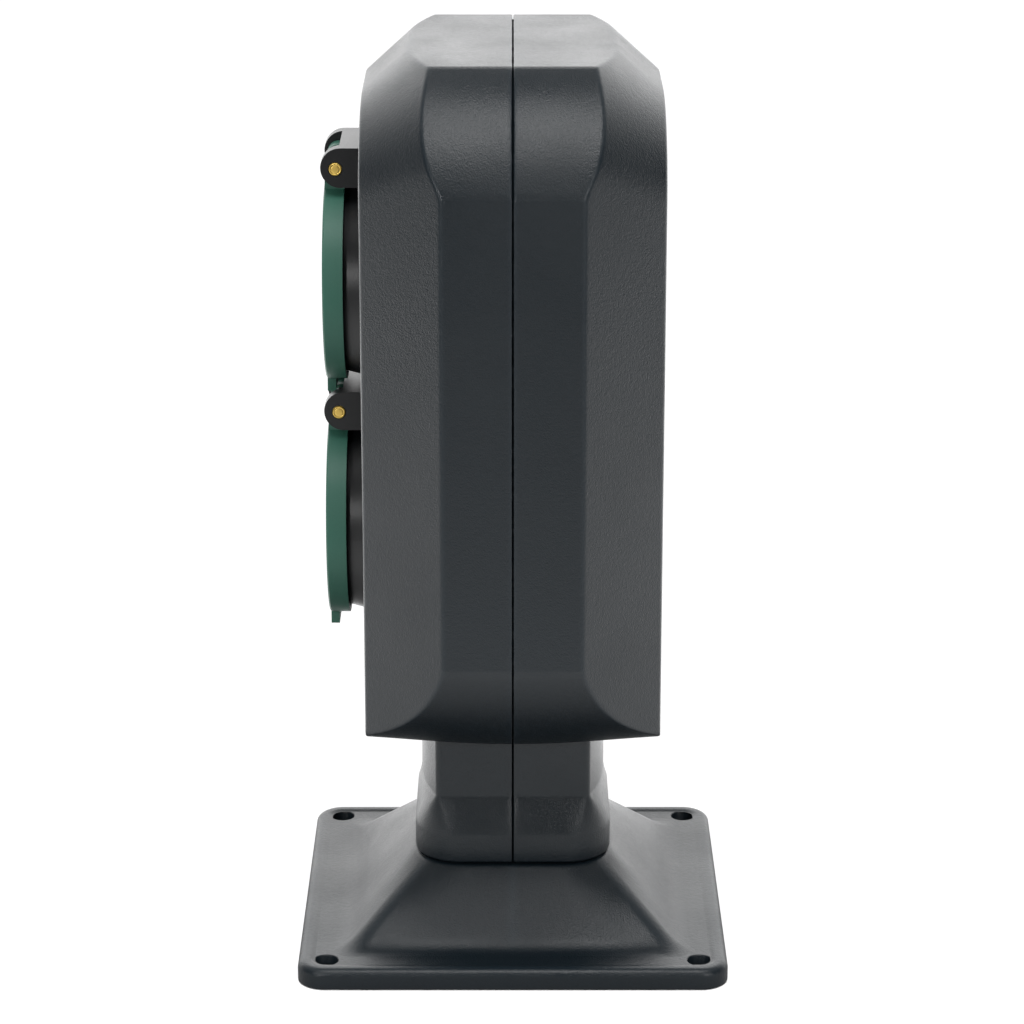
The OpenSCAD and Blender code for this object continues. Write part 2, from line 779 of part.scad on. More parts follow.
// Groove along the front shell's inner edge that takes the tongue and its seal
module rebate() {
    difference() {
        slab_y(-tongue_h - seal_t, over) difference() {
            outline(wall - tongue_t - tongue_play);
            outline(wall + over);
        }
        neck_gap_zone();
    }
}

module rear_shell() {
    color(shell_black) difference() {
        union() {
            mirror([0, 1, 0]) half_walls();
            intersection() {
                mirror([0, 1, 0]) half_form(e);
                boss_places() rod_y(0, face, boss_rear_r);
            }
            mirror([0, 1, 0]) neck_posts();
            tongue();
            block_posts();
        }
        boss_places() {
            rod_y(-over, screw_seat_y + over, screw_r + screw_play);
            rod_y(screw_seat_y, face + over, screw_head_r + head_play);
        }
        mirror([0, 1, 0]) neck_post_holes();
        block_screw_places() rod_y(block_y - over, face - wall, block_screw_r + thread_play);
    }
}

module tongue() {
    difference() {
        slab_y(-tongue_h, seam_gap + 2) difference() {
            outline(wall - tongue_t);
            outline(wall);
        }
        neck_gap_zone();
    }
}

module seam_seal() {
    color(rubber_black) difference() {
        slab_y(-tongue_h - seal_t, -tongue_h) difference() {
            outline(wall - tongue_t);
            outline(wall);
        }
        neck_gap_zone();
    }
}

module shell_screws() {
    color(steel_tone) boss_places() {
        translate([0, screw_seat_y, 0]) rotate([90, 0, 0])
            screw_up(screw_r, screw_seat_y + screw_grip, screw_head_r, screw_head_h);
    }
}

// The terminal block and the inner wires

module block_screw_places() {
    for (x = [-1, 1]) translate([x * pole_x / 2, 0, block_z0 + block_h / 2]) children();
}

module block_posts() {
    block_screw_places() rod_y(block_y, face - wall + e, block_post_r);
}

module pole_screw_places() {
    for (x = [-pole_x, 0, pole_x], z = [pole_screw_in, block_h - pole_screw_in])
        translate([x, 0, block_z0 + z]) children();
}

module terminal_block() {
    front = block_y - block_d;
    sink = front + block_slot_h;
    color("ivory") difference() {
        translate([-block_w / 2, front, block_z0]) cube([block_w, block_d, block_h]);
        for (x = [-pole_x, 0, pole_x], z = [block_h - block_hole_h, -over])
            translate([x, block_y - block_d / 2, block_z0 + z])
                cylinder(h = block_hole_h + over, r = wire_d / 2 + wire_play);
        block_screw_places() {
            rod_y(front - over, block_y + over, block_screw_r + screw_play);
            rod_y(front - over, sink, block_head_r + screw_play);
        }
        for (x = [-1, 1]) translate([x * pole_x / 2, 0, 0])
            translate([-block_slot_w / 2, front - over, block_z0 - over])
                cube([block_slot_w, block_slot_h + over, block_h + 2 * over]);
        pole_screw_places() rod_y(front - over, sink, pole_screw_r + leg_play);
    }
}

module terminal_block_screws() {
    sink = block_y - block_d + block_slot_h;
    color(steel_tone) {
        block_screw_places() translate([0, sink, 0]) rotate([-90, 0, 0])
            screw_up(block_screw_r, block_y + block_post_h - sink - screw_play, block_head_r,
                0.8 * block_slot_h);
        pole_screw_places() difference() {
            rod_y(sink - 0.6 * block_slot_h, sink, pole_screw_r);
            translate([-pole_screw_r, sink - block_slot_h, -slot_t / 2])
                cube([2 * pole_screw_r, 0.6 * block_slot_h, slot_t]);
        }
    }
}

// Quarter bend in the YZ plane about the X axis through the origin, from angle a on
module bend(a) {
    rotate([0, 90, 0]) rotate([0, 0, a]) rotate_extrude(angle = 90)
        translate([wire_bend, 0]) circle(wire_d / 2, $fn = 32);
}

// From the block up to the height z, then forwards to y1
module feed_wire(x, z, y1) {
    y0 = block_y - block_d / 2;
    z0 = block_z0 + block_h - block_hole_h;
    translate([x, y0, z0]) cylinder(h = z - wire_bend - z0, d = wire_d, $fn = 32);
    translate([x, y0 - wire_bend, z - wire_bend]) bend(90);
    translate([x, 0, z]) rod_y(y1, y0 - wire_bend, wire_d / 2, $fn = 32);
}

// From one outlet back, up and forwards again to the next
module link_wire(x, z0, z1, y1, y2) {
    translate([x, 0, z0]) rod_y(y1, y2 - wire_bend, wire_d / 2, $fn = 32);
    translate([x, y2 - wire_bend, z0 + wire_bend]) bend(0);
    translate([x, y2, z0 + wire_bend]) cylinder(h = z1 - z0 - 2 * wire_bend, d = wire_d, $fn = 32);
    translate([x, y2 - wire_bend, z1 - wire_bend]) bend(90);
    translate([x, 0, z1]) rod_y(y1, y2 - wire_bend, wire_d / 2, $fn = 32);
}

module wire_pair(x, drop) {
    y1 = cover_y - wire_grip;
    rise = wire_pitch / 2 - drop;
    feed_wire(x, outlet_z(0) - wire_pitch / 2 - drop, y1);
    link_wire(x, outlet_z(0) + rise, outlet_z(1) + rise, y1, link_y);
}

module live_wire() { color("saddlebrown") wire_pair(pole_x, clamp_drop); }
module neutral_wire() { color("steelblue") wire_pair(-pole_x, clamp_drop); }
module earth_wire() { color("yellowgreen") wire_pair(0, earth_drop); }

// The outlets

module bracket_profile() {
    translate([pin_y + ear_back, ear_up]) circle(ear_r);
    translate([pin_y + ear_back, ear_up - ear_r])
        square([-face - pin_y - ear_back + e, 2 * ear_r]);
}

// Hinge bracket: two ears, and a hood over the back half of the knuckles
module bracket(k) {
    drop = 2 * ear_r;
    translate([0, 0, pin_z(k)]) difference() {
        rotate([90, 0, 90]) translate([0, 0, -bracket_w / 2]) linear_extrude(bracket_w)
            bracket_profile();
        translate([0, pin_y, 0]) rod_x(slot_w, hood_r);
        translate([-slot_w / 2, pin_y - 2 * ear_r, -drop])
            cube([slot_w, 2 * ear_r + 1, 2 * drop]);
        translate([-slot_w / 2, pin_y - over, -drop]) cube([slot_w, hood_r + over, drop]);
        translate([0, pin_y, 0]) rod_x(bracket_w + 2 * over, hinge_pin_r + thread_play);
        translate([spring_span / 2, pin_y, spring_r])
            rod_y(0, spring_leg + 2 * leg_play, spring_wire / 2 + leg_play, $fn = 24);
    }
}

module socket_frame(k) {
    color(socket_black) difference() {
        union() {
            slab_y(-face, -face + flange_t)
                flange_shape(outlet_z(k) - flange_below, outlet_z(k) + flange_above, 0);
            translate([0, 0, outlet_z(k)]) rod_y(-face - ring_h, -face + e, ring_r, ring_root_r);
            bracket(k);
        }
        translate([0, 0, outlet_z(k)]) rod_y(-face - ring_h - over, -face + flange_t + over,
            cup_r + cup_play);
        flange_screw_places(k) {
            rod_y(-face - over, -face + flange_t + over, flange_screw_r + screw_play);
            rod_y(-face - e, -face + flange_head_h, flange_screw_r + flange_head_w + screw_play,
                flange_screw_r + screw_play);
        }
    }
}

module flange_gasket(k) {
    color(rubber_black) difference() {
        slab_y(-face + flange_t, recess_floor)
            flange_shape(outlet_z(k) - flange_below, outlet_z(k) + flange_above, -gasket_inset);
        translate([0, 0, outlet_z(k)]) rod_y(-face, -face + 4 * flange_t, step_r + cup_play);
        flange_screw_places(k) rod_y(-face, -face + 4 * flange_t, flange_screw_r + screw_play);
    }
}

module flange_screws(k) {
    color(steel_tone) flange_screw_places(k) difference() {
        union() {
            rod_y(-face, -face + flange_head_h, flange_screw_r + flange_head_w, flange_screw_r);
            rod_y(-face + flange_head_h - e, recess_floor + flange_screw_grip, flange_screw_r);
        }
        for (a = [0, 90]) rotate([0, a, 0])
            translate([-flange_screw_r, -face - over, -slot_t / 2])
                cube([2 * flange_screw_r, over + flange_head_h / 2, slot_t]);
    }
}

module socket_cup(k) {
    color(insert_grey) translate([0, 0, outlet_z(k)]) difference() {
        union() {
            rod_y(cup_rim, cover_y, cup_r);
            rod_y(-face + flange_t, step_back, step_r);
        }
        difference() {
            rod_y(cup_rim - over, cup_floor_y, recess_r);
            for (s = [-1, 1])
                translate([s * recess_r - key_t, cup_rim + key_drop, -key_w / 2])
                    cube([2 * key_t, recess_h, key_w]);
        }
        rod_y(chamber_y, cover_y + over, cup_r - cup_wall);
        for (s = [-1, 1]) {
            translate([s * pin_pitch / 2, 0, 0])
                rod_y(cup_floor_y - over, chamber_y + over, pin_hole_r);
            translate([-bow_w / 2 - clip_play, cup_floor_y - over, s * bow_r - clip_t / 2])
                cube([bow_w + 2 * clip_play, cup_floor + 2 * over, clip_t]);
        }
        rod_y(cup_floor_y - over, chamber_y + over, centre_screw_r + screw_play);
        rod_y(cup_floor_y - over, cup_floor_y + centre_sink, centre_head_r + head_play);
    }
}

centre_head_r = 2 * centre_screw_r - 0.1;
clip_t = bow_t + 2 * clip_play + 1;

// Earth clips: one strip bent twice, with an inward knee at each end and a wire clamp
module earth_bow(k) {
    top = cup_rim + bow_top;
    mid = cup_rim + bow_mid;
    low = mid + bow_bend;
    root = chamber_y + bow_t;
    outer = bow_r + bow_t / 2;
    inner = bow_r - bow_t / 2;
    color(brass_tone) translate([0, 0, outlet_z(k)]) difference() {
        union() {
            rotate([90, 0, 90]) translate([0, 0, -bow_w / 2]) linear_extrude(bow_w) {
                for (s = [-1, 1]) polygon([
                    [root, s * outer], [root, s * inner], [low, s * inner],
                    [mid, s * (inner - bow_knee)], [top, s * inner], [top, s * outer],
                    [mid, s * (outer - bow_knee)], [low, s * outer]]);
                translate([chamber_y, -outer]) square([bow_t, 2 * outer]);
            }
            translate([0, 0, -earth_drop]) wire_clamp(chamber_y);
        }
        rod_y(chamber_y - over, root + over, centre_screw_r + screw_play);
        translate([0, 0, -earth_drop]) {
            clamp_bores();
            translate([0, clamp_screw_y, -clamp_h / 2 - over])
                cylinder(h = clamp_h / 2, r = clamp_screw_r + thread_play, $fn = 32);
        }
    }
}

// Block from the depth y0 back to the cover, centred on the clamp's middle
module wire_clamp(y0) {
    translate([-clamp_w / 2, y0, -clamp_h / 2]) cube([clamp_w, cover_y - y0, clamp_h]);
}

clamp_screw_y = cover_y - wire_grip * 0.6;
clamp_screw_h = (clamp_w - wire_d) / 2 - tip_gap;

module clamp_bores() {
    for (z = [-1, 1]) translate([0, 0, z * wire_pitch / 2])
        rod_y(cover_y - wire_grip, cover_y + over, wire_d / 2 + wire_play, $fn = 32);
}

// Sleeve that grips a plug pin, with a clamp for its wires
module contact(k, s) {
    color(brass_tone) translate([s * pin_pitch / 2, 0, outlet_z(k)]) difference() {
        union() {
            rod_y(chamber_y, chamber_y + sleeve_h, sleeve_r + sleeve_wall);
            clamp_place(s) wire_clamp(chamber_y + sleeve_h / 2);
        }
        rod_y(chamber_y - over, chamber_y + sleeve_h + over, sleeve_r);
        translate([-sleeve_slot / 2, chamber_y - over, 0])
            cube([sleeve_slot, sleeve_h / 2 + over, 2 * sleeve_r]);
        clamp_place(s) {
            clamp_bores();
            side_screw_places(s) translate([0, 0, -over])
                cylinder(h = clamp_w / 2 + over, r = clamp_screw_r + thread_play, $fn = 32);
        }
    }
}

module clamp_place(s) {
    translate([s * (pole_x - pin_pitch / 2), 0, -clamp_drop]) children();
}

// The two screws of a power clamp, on its outer side and pointing inwards
module side_screw_places(s) {
    for (z = [-1, 1]) translate([s * clamp_w / 2, clamp_screw_y, z * wire_pitch * 0.6])
        rotate([0, -s * 90, 0]) children();
}

module terminal_screws(k) {
    head_r = clamp_screw_r + clamp_head_w;
    earth_grip = (clamp_h - wire_pitch - wire_d) / 2 - tip_gap;
    color(steel_tone) translate([0, 0, outlet_z(k)]) {
        for (s = [-1, 1]) translate([s * pole_x, 0, -clamp_drop]) side_screw_places(s)
            screw_up(clamp_screw_r, clamp_screw_h, head_r, clamp_head_h, $fn = 32);
        translate([0, clamp_screw_y, -earth_drop - clamp_h / 2])
            screw_up(clamp_screw_r, earth_grip, head_r, clamp_head_h, $fn = 32);
    }
}

module back_cover(k) {
    color(insert_grey) translate([0, 0, outlet_z(k)]) difference() {
        union() {
            rod_y(cover_y, cover_y + cover_t, cup_r);
            rod_y(cover_y - cover_lip, cover_y + e, cup_r - cup_wall - cup_play);
            rod_y(chamber_y + bow_t, cover_y + e, centre_screw_r + cover_post_w);
        }
        rod_y(chamber_y + bow_t - over, chamber_y + bow_t + centre_grip + tip_room,
            centre_screw_r + thread_play);
        for (p = [[-pole_x, clamp_drop], [pole_x, clamp_drop], [0, earth_drop]])
            translate([p[0], 0, -p[1]]) {
                wire_entry();
                translate([-clamp_w / 2 - entry_play, cover_y - cover_lip - over,
                    -clamp_h / 2 - entry_play])
                    cube([clamp_w + 2 * entry_play, cover_lip + over, clamp_h + 2 * entry_play]);
            }
    }
}

// Slot in the back cover for the wires of one pole
module wire_entry() {
    w = wire_d + 2 * entry_play;
    h = w + wire_pitch;
    translate([-w / 2, cover_y - over, -h / 2]) cube([w, cover_t + 2 * over, h]);
}

module centre_screw(k) {
    reach = cup_floor - centre_sink + bow_t + centre_grip;
    color(steel_tone) translate([0, cup_floor_y + centre_sink, outlet_z(k)])
        rotate([-90, 0, 0]) screw_up(centre_screw_r, reach, centre_head_r, centre_sink - thread_play);
}

module hinge_pin(k) {
    w = bracket_w + 2 * pin_overhang;
    color(brass_tone) translate([0, pin_y, pin_z(k)]) {
        rod_x(w, hinge_pin_r);
        for (s = [-1, 1]) translate([s * w / 2, 0, 0]) rotate([0, s * 90, 0])
            cylinder(h = 0.8 * pin_edge, r1 = hinge_pin_r, r2 = hinge_pin_r - pin_edge);
    }
}

// Half profile of the lid about the outlet's axis: first number outwards, second to the back
module lid_profile() {
    steps = 8;
    flat = lid_r - lid_edge;
    polygon(concat(
        [for (i = [0:steps]) let (u = i / steps) [flat * u, -lid_bow * (1 - u * u)]],
        [[lid_r, lid_edge], [lid_r, lid_h], [lid_r - rim_t, lid_h], [lid_r - rim_t, lid_t],
            [0, lid_t]]));
}

// Where the spring's first leg lies: along Z, in front of the pin and below it
module lid_leg_place(k) {
    translate([-spring_span / 2, pin_y - spring_r, pin_z(k)]) children();
}

module lid(k) {
    front = pin_y - lid_front;
    back = front + lid_h;
    root_z = outlet_z(k) + lid_r - lid_root;
    color(lid_green) difference() {
        union() {
            translate([0, front, outlet_z(k)]) rotate([-90, 0, 0]) rotate_extrude($fn = 128)
                lid_profile();
            difference() {
                union() {
                    translate([-knuckle_w / 2, pin_y - knuckle_r, root_z])
                        cube([knuckle_w, knuckle_r + back - pin_y, pin_z(k) - root_z]);
                    translate([-tab_w / 2, front, pin_z(k) - tab_reach])
                        cube([tab_w, tab_t, tab_reach - pin_drop - lid_r + lid_root]);
                }
                translate([0, 0, outlet_z(k)]) rod_y(front - over, back + over, lid_r - rim_t);
            }
            translate([0, pin_y, pin_z(k)]) rod_x(knuckle_w, knuckle_r);
        }
        translate([0, pin_y, pin_z(k)]) rod_x(slot_w + 2 * over, hinge_pin_r + hinge_play);
        translate([-spring_gap / 2, pin_y - 2 * knuckle_r, pin_z(k) - spring_r - spring_wire])
            cube([spring_gap, 4 * knuckle_r, 4 * knuckle_r]);
        lid_leg_place(k) translate([0, 0, -spring_leg - over])
            cylinder(h = spring_leg, r = spring_wire / 2 + leg_play, $fn = 24);
    }
}

module lid_seal(k) {
    front = pin_y - lid_front + lid_t;
    back = -face - ring_h - seal_gap;
    color(rubber_black) translate([0, 0, outlet_z(k)]) difference() {
        rod_y(front, back, ring_r + seal_over);
        rod_y(front - over, back + over, recess_r + seal_in);
    }
}

// Points of the lid's spring about its pin: a leg down into the lid, the turns, and a leg
// back into the bracket
spring_steps = 10;
spring_turn = 360 * spring_turns + 90;
function spring_path() = concat(
    [[-spring_span / 2, -spring_r, -spring_leg]],
    [for (i = [0:spring_steps * spring_turns + spring_steps / 4])
        let (u = i / (spring_steps * spring_turns + spring_steps / 4), a = 180 - spring_turn * u)
        [spring_span * (u - 0.5), spring_r * cos(a), spring_r * sin(a)]],
    [[spring_span / 2, spring_leg, spring_r]]);

// Least gap between neighbouring turns, measured on the points
function spring_gap_between(p) = min([for (i = [1:len(p) - 2], j = [i + 5:1:len(p) - 2])
    norm(p[i] - p[j])]) - spring_wire;
echo(spring_gap = spring_gap_between(spring_path()));

module lid_spring(k) {
    color(steel_tone) translate([0, pin_y, pin_z(k)]) tube(spring_path(), spring_wire / 2, 6);
}

function unit(v) = v / norm(v);
function heading(p, i) = unit(p[min(i + 1, len(p) - 1)] - p[max(i - 1, 0)]);

// Tube of radius r with n sides along the points p, as one closed mesh
module tube(p, r, n) {
    m = len(p);
    rings = [for (i = [0:m - 1])
        let (t = heading(p, i), u = unit(cross(t, [1, 0.01, 0.02])), v = cross(t, u))
        for (j = [0:n - 1]) p[i] + r * (cos(360 * j / n) * u + sin(360 * j / n) * v)];
    sides = [for (i = [0:m - 2], j = [0:n - 1])
        let (a = i * n + j, b = i * n + (j + 1) % n) each [[a, b, b + n], [a, b + n, a + n]]];
    caps = [[for (j = [n - 1:-1:0]) j], [for (j = [0:n - 1]) (m - 1) * n + j]];
    polyhedron(rings, concat(sides, caps), convexity = 8);
}

foot_plate();
cable_grommet();
foot_screws();
front_shell();
rear_shell();
seam_seal();
shell_screws();
terminal_block();
terminal_block_screws();
live_wire();
neutral_wire();
earth_wire();
socket_frame(1);  // upper_socket_frame
flange_gasket(1);  // upper_flange_gasket
flange_screws(1);  // upper_flange_screws
socket_cup(1);  // upper_socket_cup
earth_bow(1);  // upper_earth_bow
contact(1, 1);  // upper_live_contact
contact(1, -1);  // upper_neutral_contact
terminal_screws(1);  // upper_terminal_screws
back_cover(1);  // upper_back_cover
centre_screw(1);  // upper_centre_screw
hinge_pin(1);  // upper_hinge_pin
lid_spring(1);  // upper_lid_spring
lid(1);  // upper_lid
lid_seal(1);  // upper_lid_seal
socket_frame(0);  // lower_socket_frame
flange_gasket(0);  // lower_flange_gasket
flange_screws(0);  // lower_flange_screws
socket_cup(0);  // lower_socket_cup
earth_bow(0);  // lower_earth_bow
contact(0, 1);  // lower_live_contact
contact(0, -1);  // lower_neutral_contact
terminal_screws(0);  // lower_terminal_screws
back_cover(0);  // lower_back_cover
centre_screw(0);  // lower_centre_screw
hinge_pin(0);  // lower_hinge_pin
lid_spring(0);  // lower_lid_spring
lid(0);  // lower_lid
lid_seal(0);  // lower_lid_seal
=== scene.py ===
"""Looks of the garden socket pillar: moulded skins, materials and a plain studio."""

import json
import math

import bpy
import numpy as np
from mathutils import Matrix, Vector
from mathutils.geometry import delaunay_2d_cdt


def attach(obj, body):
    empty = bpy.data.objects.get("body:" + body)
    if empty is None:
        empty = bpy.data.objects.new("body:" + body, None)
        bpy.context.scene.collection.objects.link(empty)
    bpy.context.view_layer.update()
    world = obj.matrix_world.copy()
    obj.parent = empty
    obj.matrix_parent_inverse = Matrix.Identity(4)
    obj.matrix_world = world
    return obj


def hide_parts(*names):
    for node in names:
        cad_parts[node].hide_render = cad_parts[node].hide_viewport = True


bl_info = {
    "name": "Garden socket pillar",
    "version": (1, 0, 0),
    "blender": (4, 5, 0),
    "location": "3D View > Sidebar > Pillar",
    "description": "Moulded skins, materials and studio for a garden socket pillar",
    "category": "Object",
}

MM = 0.001
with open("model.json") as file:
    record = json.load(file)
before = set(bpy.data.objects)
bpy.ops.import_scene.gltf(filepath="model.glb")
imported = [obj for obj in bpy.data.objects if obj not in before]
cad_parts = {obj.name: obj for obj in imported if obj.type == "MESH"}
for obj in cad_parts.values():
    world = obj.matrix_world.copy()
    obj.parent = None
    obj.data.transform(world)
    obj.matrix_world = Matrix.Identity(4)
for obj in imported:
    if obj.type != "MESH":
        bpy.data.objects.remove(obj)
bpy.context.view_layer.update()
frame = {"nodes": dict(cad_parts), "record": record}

# Fixed forms of the mouldings, in millimetres

# Arcs across the housing's corners: reach inwards, reach along the side and radius. At the
# face the lower arcs reach inwards by LOWER_BOW more than at the seam.
UPPER_ARC = (26.5, 29.5, 58)
LOWER_ARC = (27.5, 31, 46)
LOWER_BOW = 9

# Recess for the outlets: height of its middle, half width, half height and corner radius
RECESS = (161.8, 29.2, 69.25, 4.2)

# Sunk screw holes at the rear: places across and up, radius at the face, distance of the
# seat from the seam, and radius of the bore
SCREW_SIDES, SCREW_HEIGHTS = (-38, 38), (86, 154, 222)
SCREW_RIM, SCREW_SEAT, SCREW_BORE = 4.35, 12, 1.9

# How far the rear half's tongue goes past the seam, and the front half's lip stays behind
TONGUE, GROOVE = 1.2, 2.0

# Collar: half width, half depth, and reach of its oval corners along both
COLLAR_W, COLLAR_D = 30, 28
COLLAR_REACH = (14, 13)

# Neck: half width, half depth, half width of its flat side, radius and turn of the edge
# beside the flat side, and how fast the far side draws in
NECK_W, NECK_D, NECK_FLAT = 26.2, 26.4, 20.4
NECK_EDGE, NECK_TURN, NECK_DRAW = 1.8, math.radians(71), 0.0069

# Heights of the shoulder between the collar and the neck, and the number of its steps
SHOULDER_Z, SHOULDER_RISE, SHOULDER_STEPS = 34.3, 9.9, 16

# Foot: rounding where the rise meets the plate, depth of the plate's field below its
# border, corner radii of the rise at its foot and at its top, how far the top is rounded,
# and how far the rims of the holes are wider than their bores
FOOT_FILLET, FOOT_FIELD, RISE_CORNER, RISE_TOP_CORNER = 3.2, 0.4, 5, 15
TOP_ROUND, HOLE_ROUND = 0.8, 0.35

# Hinge pin: rounding of its ends, and how much thicker its middle is
PIN_ROUND, PIN_STEP = 0.3, 0.17

ROUND_SIDES = 48  # sides of every turned form

# Skin of the housing: width of an edge taken as sharp, distances within which its outline
# is looked for, steps beside each crease, and how far the painted highlight along a crease
# reaches
SHARP, SEARCH = 0.01, (10, 220)
CREASE_STEPS = [-1.4, -0.9, -0.5, -0.2, 0.1, 0.4, 0.8, 1.3]
HIGHLIGHT_REACH = 1.2


# Sizes and colours that a user may change


def length(name, default, description):
    """A length property in metres, given in millimetres."""
    return bpy.props.FloatProperty(
        name=name, description=description, default=default * MM, min=0.0, unit="LENGTH"
    )


def colour(name, default, description):
    """A plain colour property, given as it shows on a screen from 0 to 255."""
    shares = [c / 255 for c in default]
    linear = [((c + 0.055) / 1.055) ** 2.4 if c > 0.04045 else c / 12.92 for c in shares]
    return bpy.props.FloatVectorProperty(
        name=name, description=description, default=linear, subtype="COLOR", min=0.0, max=1.0
    )


class HousingSizes(bpy.types.PropertyGroup):
    """Sizes of the two housing halves with their neck and collar."""

    width: length("Width", 134, "Width of the housing, side to side")
    depth: length("Depth", 82, "Depth of the housing, front to back")
    bottom: length("Underside", 65.6, "Height of the underside above the ground")
    top: length("Top", 257, "Height of the top above the ground")
    side_band: length("Side band", 37.8, "Depth of the flat band on each side")
    top_band: length("Top band", 56.4, "Depth of the flat band on the top")
    top_bevel: length("Top bevel", 11.3, "Height that the top bevel loses towards the face")
    top_flat: length("Top straight", 24, "Width of the straight middle of the top bevel")
    face_corner: length("Face corner", 24.2, "Height of the corner at the top of the face")
    seam_corner: length("Seam corner", 39.6, "Height of that corner, carried on to the seam")
    edge: length("Edge", 0.6, "Width of the rounding along the creases")
    seam: length("Seam", 0.4, "Width of the open line along the seam")


class FootSizes(bpy.types.PropertyGroup):
    """Sizes of the foot."""

    width: length("Width", 121, "Width of the square plate")
    thickness: length("Thickness", 6, "Thickness of the plate")
    corner: length("Corner", 8, "Corner radius of the plate")
    rise: length("Rise width", 94, "Width of the rise at the plate")
    top: length("Top", 25, "Height of the top of the rise")
    hole_pitch: length("Hole pitch", 105, "Distance between the fixing holes")
    hole: length("Hole", 6.8, "Diameter of the fixing holes")


class PinSizes(bpy.types.PropertyGroup):
    """Sizes and places of the hinge pins."""

    radius: length("Radius", 1.78, "Radius of a pin's ends")
    span: length("Span", 28.6, "Length of a pin over both ends")
    forward: length("Forward", 48.5, "Distance of the pins in front of the seam")
    first: length("First pin", 154.8, "Height of the lower pin")
    pitch: length("Pitch", 69, "Height between the pins")


class Finishes(bpy.types.PropertyGroup):
    """Colours and grain of the finishes."""

    shell: colour("Housing", (18, 27, 33), "Charcoal of the housing and the foot")
    socket: colour("Outlets", (17, 18, 20), "Black of the outlets and their brackets")
    lid: colour("Lids", (55, 106, 90), "Green of the lids")
    insert: colour("Inserts", (34, 34, 37), "Dark grey of the outlets' inner mouldings")
    rubber: colour("Rubber", (18, 18, 19), "Black of the seals")
    brass: colour("Brass", (236, 200, 104), "Brass of the pins and contacts")
    steel: colour("Steel", (190, 192, 196), "Steel of the screws and springs")
    grain: length("Grain", 0.45, "Size of the moulded grain")


class StageSettings(bpy.types.PropertyGroup):
    """Camera distance and height, and light levels."""

    distance: length("Camera distance", 962.8, "Distance of the camera from the pillar's axis")
    height: length("Camera height", 429.5, "Height of the camera above the ground")
    pitch: bpy.props.FloatProperty(
        name="Camera pitch", description="How far the camera looks down",
        default=math.radians(17.76), subtype="ANGLE",
    )
    lens: bpy.props.FloatProperty(
        name="Lens", description="Focal length on a sensor 36 mm wide", default=124.5, min=10.0
    )
    room: bpy.props.FloatProperty(
        name="Room light", description="Strength of the even light from all round",
        default=0.5, min=0.0,
    )
    floor_shine: bpy.props.FloatProperty(
        name="Floor shine", description="Strength at which glossy surfaces see the floor glow",
        default=0.36, min=0.0,
    )
    front_dark: bpy.props.FloatProperty(
        name="Dark front", description="Share of the room that shines on the camera's side",
        default=0.06, min=0.0, max=1.0,
    )


# Surfaces


def smooth_max(a, b, width):
    """The larger of a and b, with h squared times a quarter of the width added where they
    differ by less than the width, h being the missing share: this rounds the edge."""
    h = np.clip(1 - np.abs(a - b) / width, 0, 1)
    return np.maximum(a, b) + h * h * width / 4


def grid_faces(rows, columns, wrapped):
    """Quads of a grid of points numbered row by row; wrapped joins the last column to the
    first."""
    c = columns if wrapped else columns - 1
    i, j = np.meshgrid(np.arange(rows - 1), np.arange(c), indexing="ij")
    k = (j + 1) % columns
    quads = np.stack([i * columns + j, i * columns + k, (i + 1) * columns + k,
                      (i + 1) * columns + j], -1)
    return quads.reshape(-1, 4)


def make_piece(name, parts, material, body):
    """One mesh of several parts, each (points in millimetres, faces, strength of the painted
    highlight or None), with smooth shading, at the origin."""
    points, quads, triangles, marks, start = [], [], [], [], 0
    for co, faces, mark in parts:
        points.append(co)
        (quads if faces.shape[1] == 4 else triangles).append(faces + start)
        marks.append(np.zeros(len(co)) if mark is None else mark)
        start += len(co)
    points = np.concatenate(points) * MM
    quads = np.concatenate(quads) if quads else np.zeros((0, 4), int)
    triangles = np.concatenate(triangles) if triangles else np.zeros((0, 3), int)
    loops = np.concatenate([quads.ravel(), triangles.ravel()])
    starts = np.concatenate([np.arange(len(quads)) * 4,
                             quads.size + np.arange(len(triangles)) * 3])
    mesh = bpy.data.meshes.new(name)
    mesh.vertices.add(len(points))
    mesh.vertices.foreach_set("co", points.astype(np.float32).ravel())
    mesh.loops.add(len(loops))
    mesh.loops.foreach_set("vertex_index", loops.astype(np.int32))
    mesh.polygons.add(len(starts))
    mesh.polygons.foreach_set("loop_start", starts.astype(np.int32))
    mesh.update(calc_edges=True)
    mesh.validate()
    mesh.shade_smooth()
    # Per point strength of the painted highlight along the creases
    crease = mesh.attributes.new("crease_mark", "FLOAT", "POINT")
    crease.data.foreach_set("value", np.concatenate(marks).astype(np.float32))
    piece = bpy.data.objects.new(name, mesh)
    bpy.context.scene.collection.objects.link(piece)
    mesh.materials.append(material)
    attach(piece, body)
    return piece


